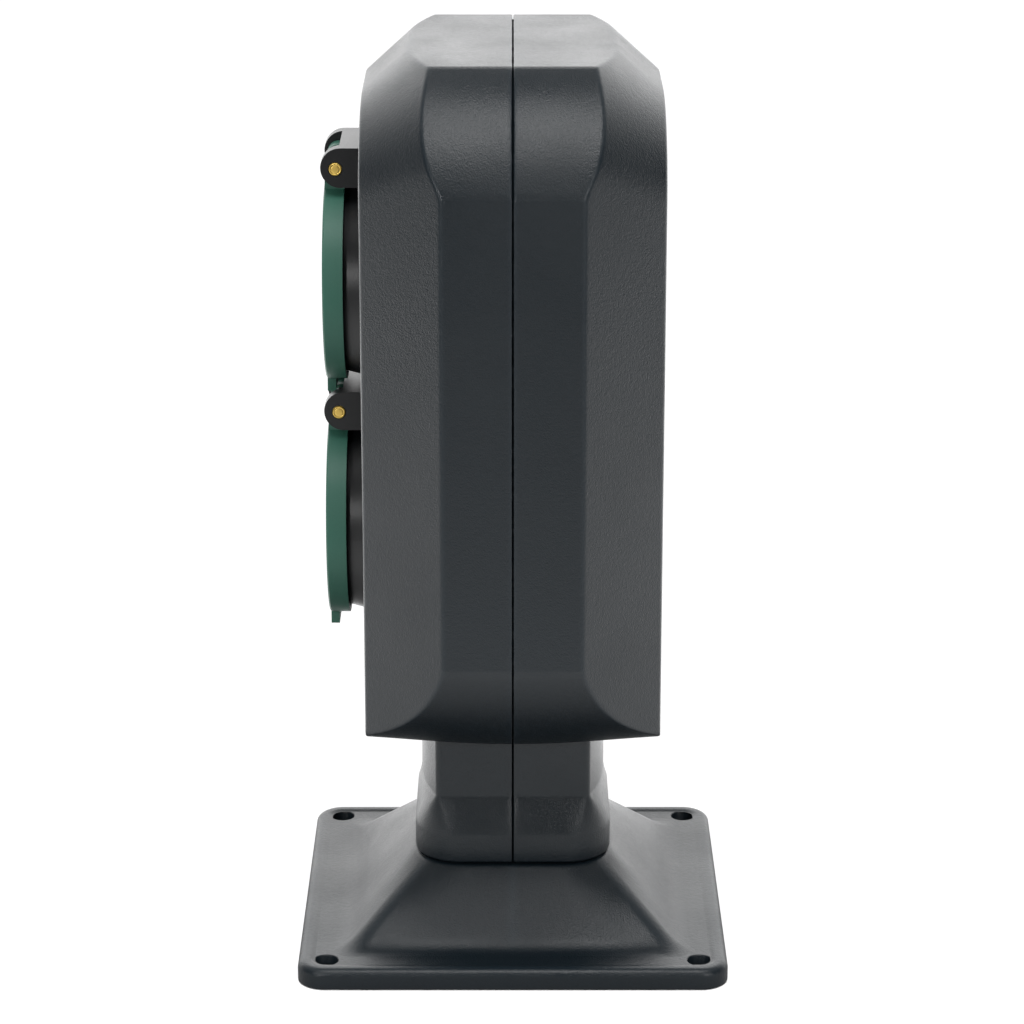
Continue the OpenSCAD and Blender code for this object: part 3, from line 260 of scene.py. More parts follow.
class HousingForm:
    """The front half of the housing as a distance field, in millimetres. y counts from the
    seam towards the face."""

    def __init__(self, sizes):
        s = {k: getattr(sizes, k) / MM for k in (
            "width", "depth", "bottom", "top", "side_band", "top_band", "top_bevel",
            "top_flat", "face_corner", "seam_corner", "edge", "seam")}
        self.half, self.face = s["width"] / 2, s["depth"] / 2
        self.bottom, self.top = s["bottom"], s["top"]
        self.side_y, self.top_y = s["side_band"] / 2, s["top_band"] / 2
        self.fall = s["top_bevel"] / (self.face - self.top_y)
        self.flat, self.edge = s["top_flat"] / 2, s["edge"]
        self.face_corner, self.seam_corner = s["face_corner"], s["seam_corner"]
        self.lip = s["seam"] / 2
        self.centre = (self.bottom + self.top) / 2

    def outline(self, x, z, width, y=0):
        """Distance outside the front outline: the larger of the distances to the sides, the
        top and the underside, and near each corner to the arc cut across it. The lower
        arcs reach further in towards the face, so the underside's edge is bowed."""
        side = np.abs(x) - self.half
        f = smooth_max(side, z - self.top, width)
        f = smooth_max(f, self.bottom - z, width)
        low = LOWER_ARC[0] + LOWER_BOW * (y / self.face) ** 2
        for w, h, r, edge, up in ((*UPPER_ARC, self.top, -1),
                                  (low, *LOWER_ARC[1:], self.bottom, 1)):
            back = np.sqrt(r * r - (w * w + h * h) / 4) / np.hypot(w, h)
            u, v = -side, (z - edge) * up
            arc = np.hypot(u - w / 2 - h * back, v - h / 2 - w * back) - r
            chord = (1 - u / w - v / h) * w * h / np.hypot(w, h)
            f = smooth_max(f, np.minimum(arc, chord), width)
        return f

    def bevel(self, x, y, z):
        """Distance outside the bevels: sides that draw in by as much as they go forwards, a
        top that falls, and between them an ellipse whose height changes with the depth."""
        half = self.half - (y - self.side_y)
        top = self.top - self.fall * (y - self.top_y)
        high = self.seam_corner + (self.face_corner - self.seam_corner) * y / self.face
        wide = half - self.flat
        u, v = np.abs(x) - self.flat, z - (top - high)
        reach = np.maximum(np.hypot(u / wide, v / high), 1e-9)
        corner = np.hypot(u, v) * (1 - 1 / reach)
        f = np.where(v <= 0, np.abs(x) - half, np.where(u <= 0, z - top, corner))
        return f / math.sqrt(2)

    def field(self, x, y, z):
        """Distance outside the whole half, with every edge rounded."""
        f = smooth_max(self.outline(x, z, self.edge, y), self.bevel(x, y, z), self.edge)
        return smooth_max(f, y - self.face, self.edge)

    def root(self, test, low, high, steps=34):
        """Where a rising test turns positive between low and high, by halving."""
        low, high = np.broadcast_arrays(low, high)
        low, high = low.astype(float).copy(), high.astype(float).copy()
        for _ in range(steps):
            middle = (low + high) / 2
            out = test(middle) > 0
            high, low = np.where(out, middle, high), np.where(out, low, middle)
        return (low + high) / 2

    def angles(self):
        """Directions round the outline, evenly spaced along it and closer at its kinks."""
        fine = np.linspace(-math.pi, math.pi, 6001)
        r = self.root(lambda r: self.outline(
            r * np.cos(fine), self.centre + r * np.sin(fine), SHARP), *SEARCH)
        p = np.column_stack([r * np.cos(fine), r * np.sin(fine)])
        along = np.concatenate([[0], np.cumsum(np.hypot(*np.diff(p, axis=0).T))])
        places = list(np.arange(0, along[-1], 1.5))
        kinks = [(self.half, self.top - UPPER_ARC[1]), (self.half - UPPER_ARC[0], self.top),
                 (self.half, self.bottom + LOWER_ARC[1]),
                 (self.half - LOWER_ARC[0], self.bottom)]
        for x, z in kinks:
            for s in (-1, 1):
                a = math.atan2(z - self.centre, s * x)
                places += list(np.interp(a, fine, along) + np.linspace(-1.2, 1.2, 11))
        places = np.sort(np.array(places) % along[-1])
        places = places[np.concatenate([[True], np.diff(places) > 0.1])]
        return np.interp(places, along, fine)

    def skin(self, turn, last_radius):
        """Rows of points from the seam to the face, one column for each direction. Each
        point lies where a ray from the middle of the seam plane leaves the field; the rays
        crowd together at the creases. last_radius gives the inner end on the face."""
        y0 = self.lip
        c, s = np.cos(turn), np.sin(turn)
        rim = self.root(lambda r: self.outline(
            r * c, self.centre + r * s, self.edge), *SEARCH)
        crease = self.root(lambda y: self.bevel(
            rim * c, y, self.centre + rim * s), 1, self.face)
        edge = self.root(lambda r: np.maximum(
            self.outline(r * c, self.centre + r * s, SHARP, self.face),
            self.bevel(r * c, self.face + 0 * r, self.centre + r * s)), *SEARCH)
        first = np.arctan2(crease - y0, rim)
        second = np.arctan2(self.face - y0, edge)
        inner = np.arctan2(self.face - y0, last_radius)
        near = np.array(CREASE_STEPS)[:, None]
        d1, d2 = 1.0 / np.hypot(rim, crease), 1.0 / np.hypot(edge, self.face)
        t = np.linspace(0, 1, 14)[:, None]
        band = np.arctan2(t * np.maximum(crease - y0 - 2, 0.5), rim)
        way = np.linspace(0.08, 0.92, 14)[:, None]
        bevel = first + way * np.maximum(second - first, 0.004)
        face = second + np.linspace(0.1, 1, 7)[:, None] * (inner - second)
        rise = np.concatenate([band, first + near * d1, bevel, second + near * d2, face])
        rise = np.sort(np.clip(rise, 0, inner), axis=0)
        cr, sr = np.cos(rise), np.sin(rise)
        reach = self.root(lambda q: self.field(q * cr * c, y0 + q * sr,
                                               self.centre + q * cr * s), 5, 240)
        rows = np.stack([reach * cr * c, y0 + reach * sr, self.centre + reach * cr * s], -1)
        # Strength of the painted highlight: full at each crease, fading out within its reach
        far = np.minimum(np.abs(rise - first) / d1, np.abs(rise - second) / d2)
        return rows, np.clip(1 - far / HIGHLIGHT_REACH, 0, 1), rim


def rounded_rectangle(half_w, half_h, r, turn):
    """Distance from the centre to the edge of a rectangle with round corners, in each
    direction."""
    c, s = np.abs(np.cos(turn)), np.abs(np.sin(turn))
    plain = np.minimum(half_w / np.maximum(c, 1e-9), half_h / np.maximum(s, 1e-9))
    a, b = half_w - r, half_h - r
    along = a * c + b * s
    arc = along + np.sqrt(np.maximum(along ** 2 - a * a - b * b + r * r, 0))
    at = (plain * c > a) & (plain * s > b)
    return np.where(at, arc, plain)


def collar_ring(inset, lip):
    """Points of half the collar's outline, a rectangle with oval corners drawn in by inset,
    from its right side at the seam round the far side to the middle."""
    a, b = COLLAR_W - inset, COLLAR_D - inset
    p, q = COLLAR_REACH[0] - inset, COLLAR_REACH[1] - inset
    t = np.linspace(0, math.pi / 2, 21)
    corner = np.column_stack([a - p + p * np.cos(t), b - q + q * np.sin(t)])
    side = np.column_stack([np.full(7, a), np.linspace(lip, b - q, 8)[:-1]])
    far = np.column_stack([np.linspace(a - p, 0, 16)[1:], np.full(15, b)])
    return np.concatenate([side, corner, far])


def neck_ring(lip):
    """Points of half the neck's outline, as many as the collar's: a flat side, a small round
    edge, and a far side whose distance from the seam is the half depth less a share of the
    square of its distance from the middle."""
    start = COLLAR_D - COLLAR_REACH[1]
    t = np.linspace(0, NECK_TURN, 12)
    side = np.column_stack([np.full(7, NECK_W), np.linspace(lip, start, 8)[:-1]])
    rest = np.column_stack([np.full(4, NECK_W), np.linspace(start, NECK_FLAT, 5)[:-1]])
    corner = np.column_stack([NECK_W - NECK_EDGE + NECK_EDGE * np.cos(t),
                              NECK_FLAT + NECK_EDGE * np.sin(t)])
    x = np.concatenate([np.linspace(corner[-1, 0], 20, 6)[1:], np.linspace(20, 0, 16)[1:]])
    far = np.column_stack([x, NECK_D - NECK_DRAW * x ** 2])
    return np.concatenate([side, rest, corner, far])


def stem_levels():
    """Shares of the neck's outline, drawn-in widths and heights of the collar, the shoulder
    and the neck: an upright band, a slope, a little flatter above, and the upright neck."""
    levels = [(0, 1.6, 25.6), (0, 0.5, 25.6), (0, 0.15, 25.7), (0, 0, 26.1), (0, 0, 30),
              (0, 0, 33.2), (0.02, 0, 34.0)]
    for i in range(1, SHOULDER_STEPS):
        u = i / SHOULDER_STEPS
        share = 0.04 + 0.96 * (0.7 * u + 0.3 * u * u)
        levels.append((share, 0, SHOULDER_Z + SHOULDER_RISE * u))
    return levels + [(1, 0, 44.3), (1, 0, 45), (1, 0, 50), (1, 0, 58), (1, 0, 67)]


def stem_parts(lip, tongue):
    """Half of the neck and collar: rings along the levels, and at each side a lip that turns
    in from the seam and goes on into a strip that ends the tongue's reach past the seam."""
    rows = []
    for share, inset, z in stem_levels():
        half = collar_ring(inset, lip) * (1 - share) + neck_ring(lip) * share
        ring = np.concatenate([half, half[:-1][::-1] * [-1, 1]])
        a = half[0, 0] + inset
        turn_in = np.array([[a - 2.6, -tongue], [a - 1.7, -tongue], [a - 1.6, lip],
                            [a - inset - 0.4, lip], [a - inset - 0.1, lip + 0.08]])
        ring[0, 1], ring[-1, 1] = lip + 0.35, lip + 0.35
        ring = np.concatenate([turn_in, ring, turn_in[::-1] * [-1, 1]])
        rows.append(np.column_stack([ring, np.full(len(ring), z)]))
    return np.stack(rows)


def flat_fill(loops, holes, inside):
    """Triangles of a flat region bounded by loops and round holes, in two dimensions, as
    (points, faces). inside tells for the middles of the triangles which ones to keep."""
    points, edges = [], []
    rims = [np.array(loop) for loop in loops]
    t = np.linspace(0, 2 * math.pi, ROUND_SIDES, endpoint=False)
    rims += [np.column_stack([x + r * np.cos(t), z + r * np.sin(t)]) for x, z, r in holes]
    for rim in rims:
        start, n = len(points), len(rim)
        points += [Vector(p) for p in rim]
        edges += [(start + i, start + (i + 1) % n) for i in range(n)]
    co, _, faces, *_ = delaunay_2d_cdt(points, edges, [], 0, 1e-5)
    co, faces = np.array([tuple(v) for v in co]), np.array(faces)
    middle = co[faces].mean(1)
    keep = inside(middle)
    for x, z, r in holes:
        keep &= np.hypot(middle[:, 0] - x, middle[:, 1] - z) > r * 0.98
    return co, faces[keep]


def revolved(profile, centre):
    """A profile of (radius, y) turned round the Y axis through centre, as (points, faces)."""
    t = np.linspace(0, 2 * math.pi, ROUND_SIDES, endpoint=False)
    p = np.array(profile)
    rows = np.stack([p[:, :1] * np.cos(t) + centre[0], p[:, 1:] + 0 * t,
                     p[:, :1] * np.sin(t) + centre[2]], -1)
    return rows.reshape(-1, 3), grid_faces(len(p), ROUND_SIDES, True)


def seam_wave(turn):
    """Small unevenness of the moulded parting line, a sum of three waves."""
    return 0.05 * (np.sin(41 * turn) + np.sin(97 * turn + 1) + np.sin(173 * turn + 2)) / 1.5


def build_half(name, sizes, material, rear):
    """One housing half: lip, skin, recess or screw holes, and its half of the stem."""
    form = HousingForm(sizes)
    turn = form.angles()
    c, s = np.cos(turn), np.sin(turn)
    holes = [(x, z, SCREW_RIM) for x in SCREW_SIDES for z in SCREW_HEIGHTS]
    if rear:
        edge = form.root(lambda r: np.maximum(
            form.outline(r * c, form.centre + r * s, SHARP),
            form.bevel(r * c, form.face + 0 * r, form.centre + r * s)), *SEARCH)
        last = edge - 2
    else:
        middle = RECESS[0] - form.centre
        last = rounded_rectangle(*RECESS[1:], turn) + middle * s + 0.3
    rows, marks, rim = form.skin(turn, last)

    def level(radius, y):
        return np.stack([radius * c, y + 0 * c, form.centre + radius * s], -1)

    wave = seam_wave(turn)
    lip = [level(rim - 2.5, form.lip + 1.8), level(rim - 1.4, form.lip + wave * 0),
           level(rim - 0.35, form.lip + wave * 0.3), level(rim - 0.1, form.lip + 0.08 + wave)]
    if rear:
        lip = [level(rim - 2.4, -1.2), level(rim - 1.5, -1.2)] + lip[1:]
    rows[0] = level(rim, form.lip + 0.35 + wave)
    rows[1, :, 1] = np.maximum(rows[1, :, 1], rows[0, :, 1] + 0.05)
    # The seam's edge gets the full painted highlight
    marks[0] = 1
    face, end = form.face, np.zeros((0, len(turn), 3))
    if not rear:
        end = np.array([level(last - 0.2, face - 0.06), level(last - 0.3, face - 0.3),
                        level(last - 0.3, face - 3), level(last - 4, face - 3)])
    body = np.concatenate([lip, rows, end])
    marks = np.concatenate([np.zeros((len(lip), len(turn))), marks,
                            np.zeros((len(end), len(turn)))])
    parts = [(body.reshape(-1, 3), grid_faces(len(body), len(turn), True), marks.ravel())]
    if rear:
        flat, faces = flat_fill([rows[-1][:, [0, 2]]], holes, lambda m: np.ones(len(m), bool))
        fill = np.column_stack([flat[:, 0], np.full(len(flat), face), flat[:, 1]])
        parts.append((fill, faces[:, ::-1], None))
        for x, z, r in holes:
            wall = r - HOLE_ROUND
            co, q = revolved([(r, face), (r - 0.22, face - 0.07), (wall, face - HOLE_ROUND),
                              (wall, SCREW_SEAT), (SCREW_BORE, SCREW_SEAT)], (x, 0, z))
            parts.append((co, q[:, ::-1], None))
    stem = stem_parts(form.lip, TONGUE if rear else -GROOVE)
    parts.append((stem.reshape(-1, 3), grid_faces(stem.shape[0], stem.shape[1], False), None))
    turned = []
    for co, faces, mark in parts:
        co = co.copy()
        if rear:
            faces = faces[:, ::-1]
        else:
            co[:, 1] *= -1
        turned.append((co, faces, mark))
    return make_piece(name, turned, material, "housing")


def square_turns(corners, spread):
    """Directions round a square form: even ones, and closer ones about its corners."""
    even = np.linspace(-math.pi, math.pi, 97)[:-1]
    near = [c + d for c in corners for d in np.linspace(-spread, spread, 33)]
    turns = np.sort(np.concatenate([even, near]))
    return turns[np.concatenate([[True], np.diff(turns) > 0.002])]


def kept_underside(half, edge, hole_at, hole_r):
    """The CAD foot without the outer faces that the skin stands for, as (points, faces):
    faces that look up below the spigot, the plate's outer walls and the walls of the
    holes are dropped."""
    mesh = frame["nodes"]["foot_plate"].data
    co = np.empty(len(mesh.vertices) * 3, np.float32)
    mesh.vertices.foreach_get("co", co)
    co = co.reshape(-1, 3).astype(float) / MM
    tri = np.empty(len(mesh.polygons) * 3, np.int32)
    mesh.polygons.foreach_get("vertices", tri)
    tri = tri.reshape(-1, 3)
    a, b, c = co[tri[:, 0]], co[tri[:, 1]], co[tri[:, 2]]
    normal = np.cross(b - a, c - a)
    normal /= np.maximum(np.linalg.norm(normal, axis=1, keepdims=True), 1e-12)
    middle = (a + b + c) / 3
    upright = np.abs(normal[:, 2]) <= 0.02
    drop = (normal[:, 2] > 0.02) & (middle[:, 2] < 25.5)
    drop |= upright & (np.abs(middle[:, :2]).max(1) > half - edge)
    drop |= upright & (np.hypot(*(np.abs(middle[:, :2]) - hole_at).T) < hole_r + 0.2)
    return co, tri[~drop]


def build_foot(sizes, material):
    """Skin of the foot over the CAD underside. The rise is a straight blend, in each
    direction, of a square at the plate and the collar's outline at its top; a smooth
    larger-of joins it to the plate, whose border is a low bead over a quarter round."""
    half, rise, top = sizes.width / MM / 2, sizes.rise / MM / 2, sizes.top / MM
    plate, corner = sizes.thickness / MM, sizes.corner / MM
    pitch, hole = sizes.hole_pitch / MM / 2, sizes.hole / MM / 2
    flat = plate - FOOT_FIELD
    ridge = [s * math.pi / 4 + q * math.pi for s in (-1, 1) for q in (0, 1)]
    turn = square_turns([(r + math.pi) % (2 * math.pi) - math.pi for r in ridge], 0.16)
    c, s = np.cos(turn), np.sin(turn)
    low = rounded_rectangle(rise, rise, RISE_CORNER, turn)
    high = rounded_rectangle(COLLAR_W, COLLAR_D, RISE_TOP_CORNER, turn)
    slope = (top - flat) / (low - high)
    start = low + FOOT_FILLET / slope
    t = np.linspace(0, 1, 40)[:, None] ** 0.8
    reach = start + t * (high - start)
    height = smooth_max(flat + 0 * reach, flat + slope * (low - reach), FOOT_FILLET)
    cap = np.minimum(1, np.maximum(0, (height - top + TOP_ROUND) / TOP_ROUND))
    height = height - 0.25 * cap ** 2
    # Painted highlight along the corner ridges of the rise
    ridge_at = np.arctan2((COLLAR_D + 1) * np.sign(s), COLLAR_W * np.sign(c))
    near = np.exp(-((turn - ridge_at) / 0.035) ** 2)
    lift = np.clip((height - flat) / 3, 0, 1)
    sides = np.stack([reach * c, reach * s, height], -1)
    neck = np.stack([[(high - d) * c, (high - d) * s, 0 * c + top - 0.25]
                     for d in (0.6, 4.5)]).transpose(0, 2, 1)
    rows = np.concatenate([sides, neck])
    marks = np.concatenate([near * lift, np.zeros((2, len(turn)))])
    parts = [(rows.reshape(-1, 3), grid_faces(len(rows), len(turn), True), marks.ravel())]

    # Border rows: inset, height, and strength of the painted highlight along the rim
    border = [(4.9, flat, 0), (4.6, flat + 0.03, 0), (4.3, flat + 0.16, 0.1),
              (3.95, plate - 0.14, 0.3), (3.6, plate - 0.03, 0.5), (3.2, plate, 0.3)]
    quarter = np.linspace(0, math.pi / 2, 9)
    border += [(2.3 - 2.3 * math.sin(q), plate - 2.3 + 2.3 * math.cos(q), 1 - 0.6 * q)
               for q in quarter]
    border += [(0, 2.4, 0), (0, 1.2, 0), (0, 0.5, 0), (0.12, 0.15, 0.5), (0.45, 0.0, 0.5)]
    rim = [rounded_rectangle(half - d, half - d, corner - d, turn) for d, _, _ in border]
    rows = np.stack([np.column_stack([r * c, r * s, 0 * c + z])
                     for r, (_, z, _) in zip(rim, border)])
    marks = np.stack([np.full(len(turn), m) for _, _, m in border])
    parts.append((rows.reshape(-1, 3), grid_faces(len(rows), len(turn), True)[:, ::-1],
                  marks.ravel()))

    def between(m):
        way, far = np.arctan2(m[:, 1], m[:, 0]), np.hypot(m[:, 0], m[:, 1])
        return far > np.interp(way, turn, start) * 0.999

    holes = [(x, y, hole + HOLE_ROUND) for x in (-pitch, pitch) for y in (-pitch, pitch)]
    loops = [np.column_stack([start * c, start * s]),
             np.column_stack([rim[0] * c, rim[0] * s])]
    plane, faces = flat_fill(loops, holes, between)
    parts.append((np.column_stack([plane, np.full(len(plane), flat)]), faces, None))
    for x, y, r in holes:
        co, q = revolved([(r, flat), (r - 0.22, flat - 0.07),
                          (r - HOLE_ROUND, flat - HOLE_ROUND), (hole, 0)], (0, 0, 0))
        co = co[:, [0, 2, 1]] + [x, y, 0]
        parts.append((co, q[:, ::-1], None))
    co, faces = kept_underside(half, 2.4, pitch, hole)
    parts.append((co, faces, None))
    return make_piece("foot_skin", parts, material, "housing")


def build_pin(name, middle, span, radius, material):
    """A hinge pin along X: at each end a shallow groove inside a rounded rim, and a flat
    closed by a fan of triangles."""
    q = np.linspace(0, math.pi / 2, 6)
    end = [(0.4, 0.0), (0.9, 0.02), (1.1, 0.05), (1.18, 0.13), (1.28, 0.13), (1.35, 0.05)]
    end += list(zip(radius - PIN_ROUND + PIN_ROUND * np.sin(q),
                    PIN_ROUND - PIN_ROUND * np.cos(q)))
    end += [(radius, 1.2), (radius + PIN_STEP, 1.5)]
    half = [(r, span / 2 - back) for r, back in end]
    co, faces = revolved(half + [(r, -x) for r, x in half[::-1]], (0, 0, 0))
    n, last = ROUND_SIDES, len(co)
    points = np.concatenate([co, [[0, span / 2, 0], [0, -span / 2, 0]]])[:, [1, 0, 2]]
    k = np.arange(n)
    after = (k + 1) % n
    front = np.column_stack([0 * k + last, after, k])
    rear = np.column_stack([0 * k + last + 1, last - n + k, last - n + after])
    fans = np.concatenate([front, rear])
    parts = [(points + middle, faces[:, ::-1], None),
             (np.zeros((0, 3)), fans[:, ::-1] - len(points), None)]
    return make_piece(name, parts, material, "housing")


# Materials


def new_group(name, inputs, outputs):
    """A shader node group with named sockets: (group, its input node, its output node)."""
    tree = bpy.data.node_groups.new(name, "ShaderNodeTree")
    for label, kind, value in inputs:
        socket = tree.interface.new_socket(label, in_out="INPUT", socket_type=kind)
        socket.default_value = value
    for label, kind in outputs:
        tree.interface.new_socket(label, in_out="OUTPUT", socket_type=kind)
    return tree, tree.nodes.new("NodeGroupInput"), tree.nodes.new("NodeGroupOutput")


def math_node(tree, operation, a, b):
    """A Math node fed by sockets or numbers."""
    node = tree.nodes.new("ShaderNodeMath")
    node.operation = operation
    for socket, value in zip(node.inputs, (a, b)):
        if isinstance(value, (int, float)):
            socket.default_value = value
        else:
            tree.links.new(value, socket)
    return node.outputs[0]


def noise_node(tree, vector, scale, detail, roughness=0.5):
    """A Noise Texture on a vector, its scale a socket or a number."""
    node = tree.nodes.new("ShaderNodeTexNoise")
    node.inputs["Detail"].default_value = detail
    node.inputs["Roughness"].default_value = roughness
    tree.links.new(vector, node.inputs["Vector"])
    if isinstance(scale, (int, float)):
        node.inputs["Scale"].default_value = scale
    else:
        tree.links.new(scale, node.inputs["Scale"])
    return node.outputs["Fac"]


def moulded_grain():
    """Spark-eroded grain of a moulding: a fine and a coarser noise as a bump, and a roughness
    that follows them and wide clouds."""
    tree, given, out = new_group("moulded_grain", [
        ("Grain per metre", "NodeSocketFloat", 2200.0), ("Depth", "NodeSocketFloat", 0.25),
        ("Roughness", "NodeSocketFloat", 0.5), ("Spread", "NodeSocketFloat", 0.12),
    ], [("Normal", "NodeSocketVector"), ("Roughness", "NodeSocketFloat"),
        ("Height", "NodeSocketFloat")])
    place = tree.nodes.new("ShaderNodeTexCoord").outputs["Object"]
    fine = noise_node(tree, place, given.outputs["Grain per metre"], 2.5, 0.6)
    coarse = noise_node(tree, place, math_node(tree, "MULTIPLY", given.outputs[0], 0.37), 2.0)
    height = math_node(tree, "ADD", math_node(tree, "MULTIPLY", fine, 0.65),
                       math_node(tree, "MULTIPLY", coarse, 0.35))
    bump = tree.nodes.new("ShaderNodeBump")
    bump.inputs["Distance"].default_value = 0.0002
    tree.links.new(given.outputs["Depth"], bump.inputs["Strength"])
    tree.links.new(height, bump.inputs["Height"])
    tree.links.new(bump.outputs["Normal"], out.inputs["Normal"])
    cloud = noise_node(tree, place, 38.0, 3.0)
    swing = math_node(tree, "SUBTRACT", math_node(tree, "ADD", height, cloud), 1.0)
    rough = math_node(tree, "MULTIPLY", swing, given.outputs["Spread"])
    tree.links.new(math_node(tree, "ADD", given.outputs["Roughness"], rough),
                   out.inputs["Roughness"])
    tree.links.new(height, out.inputs["Height"])
    return tree


def plastic_tone():
    """Colour of a pigmented moulding: faint clouds, a fine speckle, and painted highlights on
    creases.
    """
    tree, given, out = new_group("plastic_tone", [
        ("Colour", "NodeSocketColor", (0.05, 0.05, 0.05, 1)),
        ("Clouds", "NodeSocketFloat", 0.12), ("Speckle", "NodeSocketFloat", 0.1),
        ("Crease", "NodeSocketFloat", 0.0), ("Wear", "NodeSocketFloat", 0.2),
    ], [("Colour", "NodeSocketColor")])
    place = tree.nodes.new("ShaderNodeTexCoord").outputs["Object"]
    cloud = math_node(tree, "SUBTRACT", noise_node(tree, place, 24.0, 4.0), 0.5)
    speck = math_node(tree, "SUBTRACT", noise_node(tree, place, 1500.0, 1.0), 0.5)
    total = math_node(tree, "ADD", math_node(tree, "MULTIPLY", cloud, given.outputs["Clouds"]),
                      math_node(tree, "MULTIPLY", speck, given.outputs["Speckle"]))
    # Painted highlight: the marked creases are lightened to stand for the light that catches
    # them
    painted_highlight = math_node(tree, "MULTIPLY", given.outputs["Crease"], given.outputs["Wear"])
    factor = math_node(tree, "ADD", math_node(tree, "ADD", total, 1.0), painted_highlight)
    scale = tree.nodes.new("ShaderNodeVectorMath")
    scale.operation = "SCALE"
    tree.links.new(given.outputs["Colour"], scale.inputs[0])
    tree.links.new(factor, scale.inputs["Scale"])
    tree.links.new(scale.outputs[0], out.inputs["Colour"])
    return tree


def group_node(tree, group, **values):
    """A node group placed in a material, with values for its named inputs."""
    node = tree.nodes.new("ShaderNodeGroup")
    node.node_tree = group
    for label, value in values.items():
        node.inputs[label.replace("_", " ")].default_value = value
    return node


def plastic(name, tone, grain, rough, depth, spread=0.1, clouds=0.12, speckle=0.1, crease_highlight=0.2):
    """A moulded plastic: toned colour, grain, and painted highlights on the marked creases."""
    material = bpy.data.materials.new(name)
    material.use_nodes = True
    tree = material.node_tree
    shader = tree.nodes["Principled BSDF"]
    shader.inputs["IOR"].default_value = 1.5
    groups = bpy.data.node_groups
    skin = group_node(tree, groups["moulded_grain"], Grain_per_metre=grain, Depth=depth,
                      Roughness=rough, Spread=spread)
    paint = group_node(tree, groups["plastic_tone"], Colour=(*tone, 1), Clouds=clouds,
                       Speckle=speckle, Wear=crease_highlight)
    # The crease marks set how strongly the painted highlight lightens the colour
    crease = tree.nodes.new("ShaderNodeAttribute")
    crease.attribute_name = "crease_mark"
    tree.links.new(crease.outputs["Fac"], paint.inputs["Crease"])
    tree.links.new(paint.outputs["Colour"], shader.inputs["Base Color"])
    tree.links.new(skin.outputs["Roughness"], shader.inputs["Roughness"])
    tree.links.new(skin.outputs["Normal"], shader.inputs["Normal"])
    return material


def metal(name, tone, rough, scratch, bright=1.0):
    """A drawn or plated metal: fine scratches in its roughness and a faint bump. Less than
    1 for bright gives the dull film of a metal that has been handled."""
    material = bpy.data.materials.new(name)
    material.use_nodes = True
    tree = material.node_tree
    shader = tree.nodes["Principled BSDF"]
    shader.inputs["Metallic"].default_value = bright
    skin = group_node(tree, bpy.data.node_groups["moulded_grain"], Grain_per_metre=3200.0,
                      Depth=scratch, Roughness=rough, Spread=0.25)
    paint = group_node(tree, bpy.data.node_groups["plastic_tone"], Colour=(*tone, 1),
                       Clouds=0.2, Speckle=0.15, Wear=0.0)
    tree.links.new(paint.outputs["Colour"], shader.inputs["Base Color"])
    tree.links.new(skin.outputs["Roughness"], shader.inputs["Roughness"])
    tree.links.new(skin.outputs["Normal"], shader.inputs["Normal"])
    return material


def dress(node, material):
    """Puts a material on a CAD node's own slots."""
    slots = frame["nodes"][node].material_slots
    for s in slots:
        s.material = material


def build_finishes(look):
    """Every finish of the record, by the name of its slot."""
    moulded_grain()
    plastic_tone()
    grain = 1 / look.grain
    wires = {"wire_live": (0.20, 0.075, 0.025), "wire_neutral": (0.05, 0.17, 0.48),
             "wire_earth": (0.36, 0.50, 0.04)}
    fine = grain * 1.4
    made = {
        # The housing and the foot get the strongest painted highlight on their creases
        "shell_plastic": plastic("housing_charcoal", look.shell, grain, rough=0.36, depth=0.75,
                                 spread=0.25, clouds=0.25, speckle=0.3, crease_highlight=0.35),
        "socket_plastic": plastic("socket_black", look.socket, fine, rough=0.38, depth=0.15),
        "lid_plastic": plastic("lid_green", look.lid, fine, rough=0.48, depth=0.15),
        "insert_plastic": plastic("insert_grey", look.insert, grain, rough=0.5, depth=0.2),
        "block_plastic": plastic("block_ivory", (0.75, 0.73, 0.66), grain, rough=0.45,
                                 depth=0.1),
        "rubber": plastic("seal_rubber", look.rubber, grain * 0.8, rough=0.7, depth=0.4),
        "brass": metal("drawn_brass", look.brass, rough=0.36, scratch=0.08, bright=0.6),
        "screw_steel": metal("plated_steel", look.steel, rough=0.32, scratch=0.1),
        "spring_steel": metal("spring_steel", look.steel, rough=0.25, scratch=0.05),
    }
    for slot, tone in wires.items():
        made[slot] = plastic(slot + "_sleeve", tone, grain, rough=0.35, depth=0.05,
                             spread=0.08)
    return made


# Studio

# Name, place, point that it aims at, size across and up in metres, and power in watts
LAMPS = [
    ("left_softbox", (0.15, -0.85, 1.1), (0, 0, 0.15), (0.3, 0.3), 0.8),
    ("left_spot", (0.93, -0.54, 0.46), (0, 0, 0.04), (0.08, 0.08), 2.4),
    ("right_softbox", (0.15, 0.85, 1.1), (0, 0, 0.15), (0.3, 0.3), 0.8),
    ("right_spot", (0.93, 0.54, 0.46), (0, 0, 0.04), (0.08, 0.08), 2.4),
    ("top_softbox", (0.43, 0, 1.24), (0, 0, 0.1), (0.6, 0.6), 6.3),
    ("back_softbox", (-1.3, 0, 0.7), (0, 0, 0.22), (1.9, 0.66), 2.4),
]

# Half width of the floor, how white the paper shows, the lens's sensor in millimetres, and
# the camera's place across the pillar
FLOOR_REACH, PAPER_WHITE, SENSOR, CAMERA_SIDE = 6, 0.86, 36, -0.23 * MM


def soft_light(name, place, aim, size, watts):
    """A square area light at a place, aimed at a point."""
    data = bpy.data.lights.new(name, "AREA")
    data.shape = "RECTANGLE"
    data.size, data.size_y = size
    data.energy = watts
    lamp = bpy.data.objects.new(name, data)
    lamp.location = place
    lamp.rotation_euler = (Vector(aim) - Vector(place)).to_track_quat("-Z", "Y").to_euler()
    bpy.context.scene.collection.objects.link(lamp)


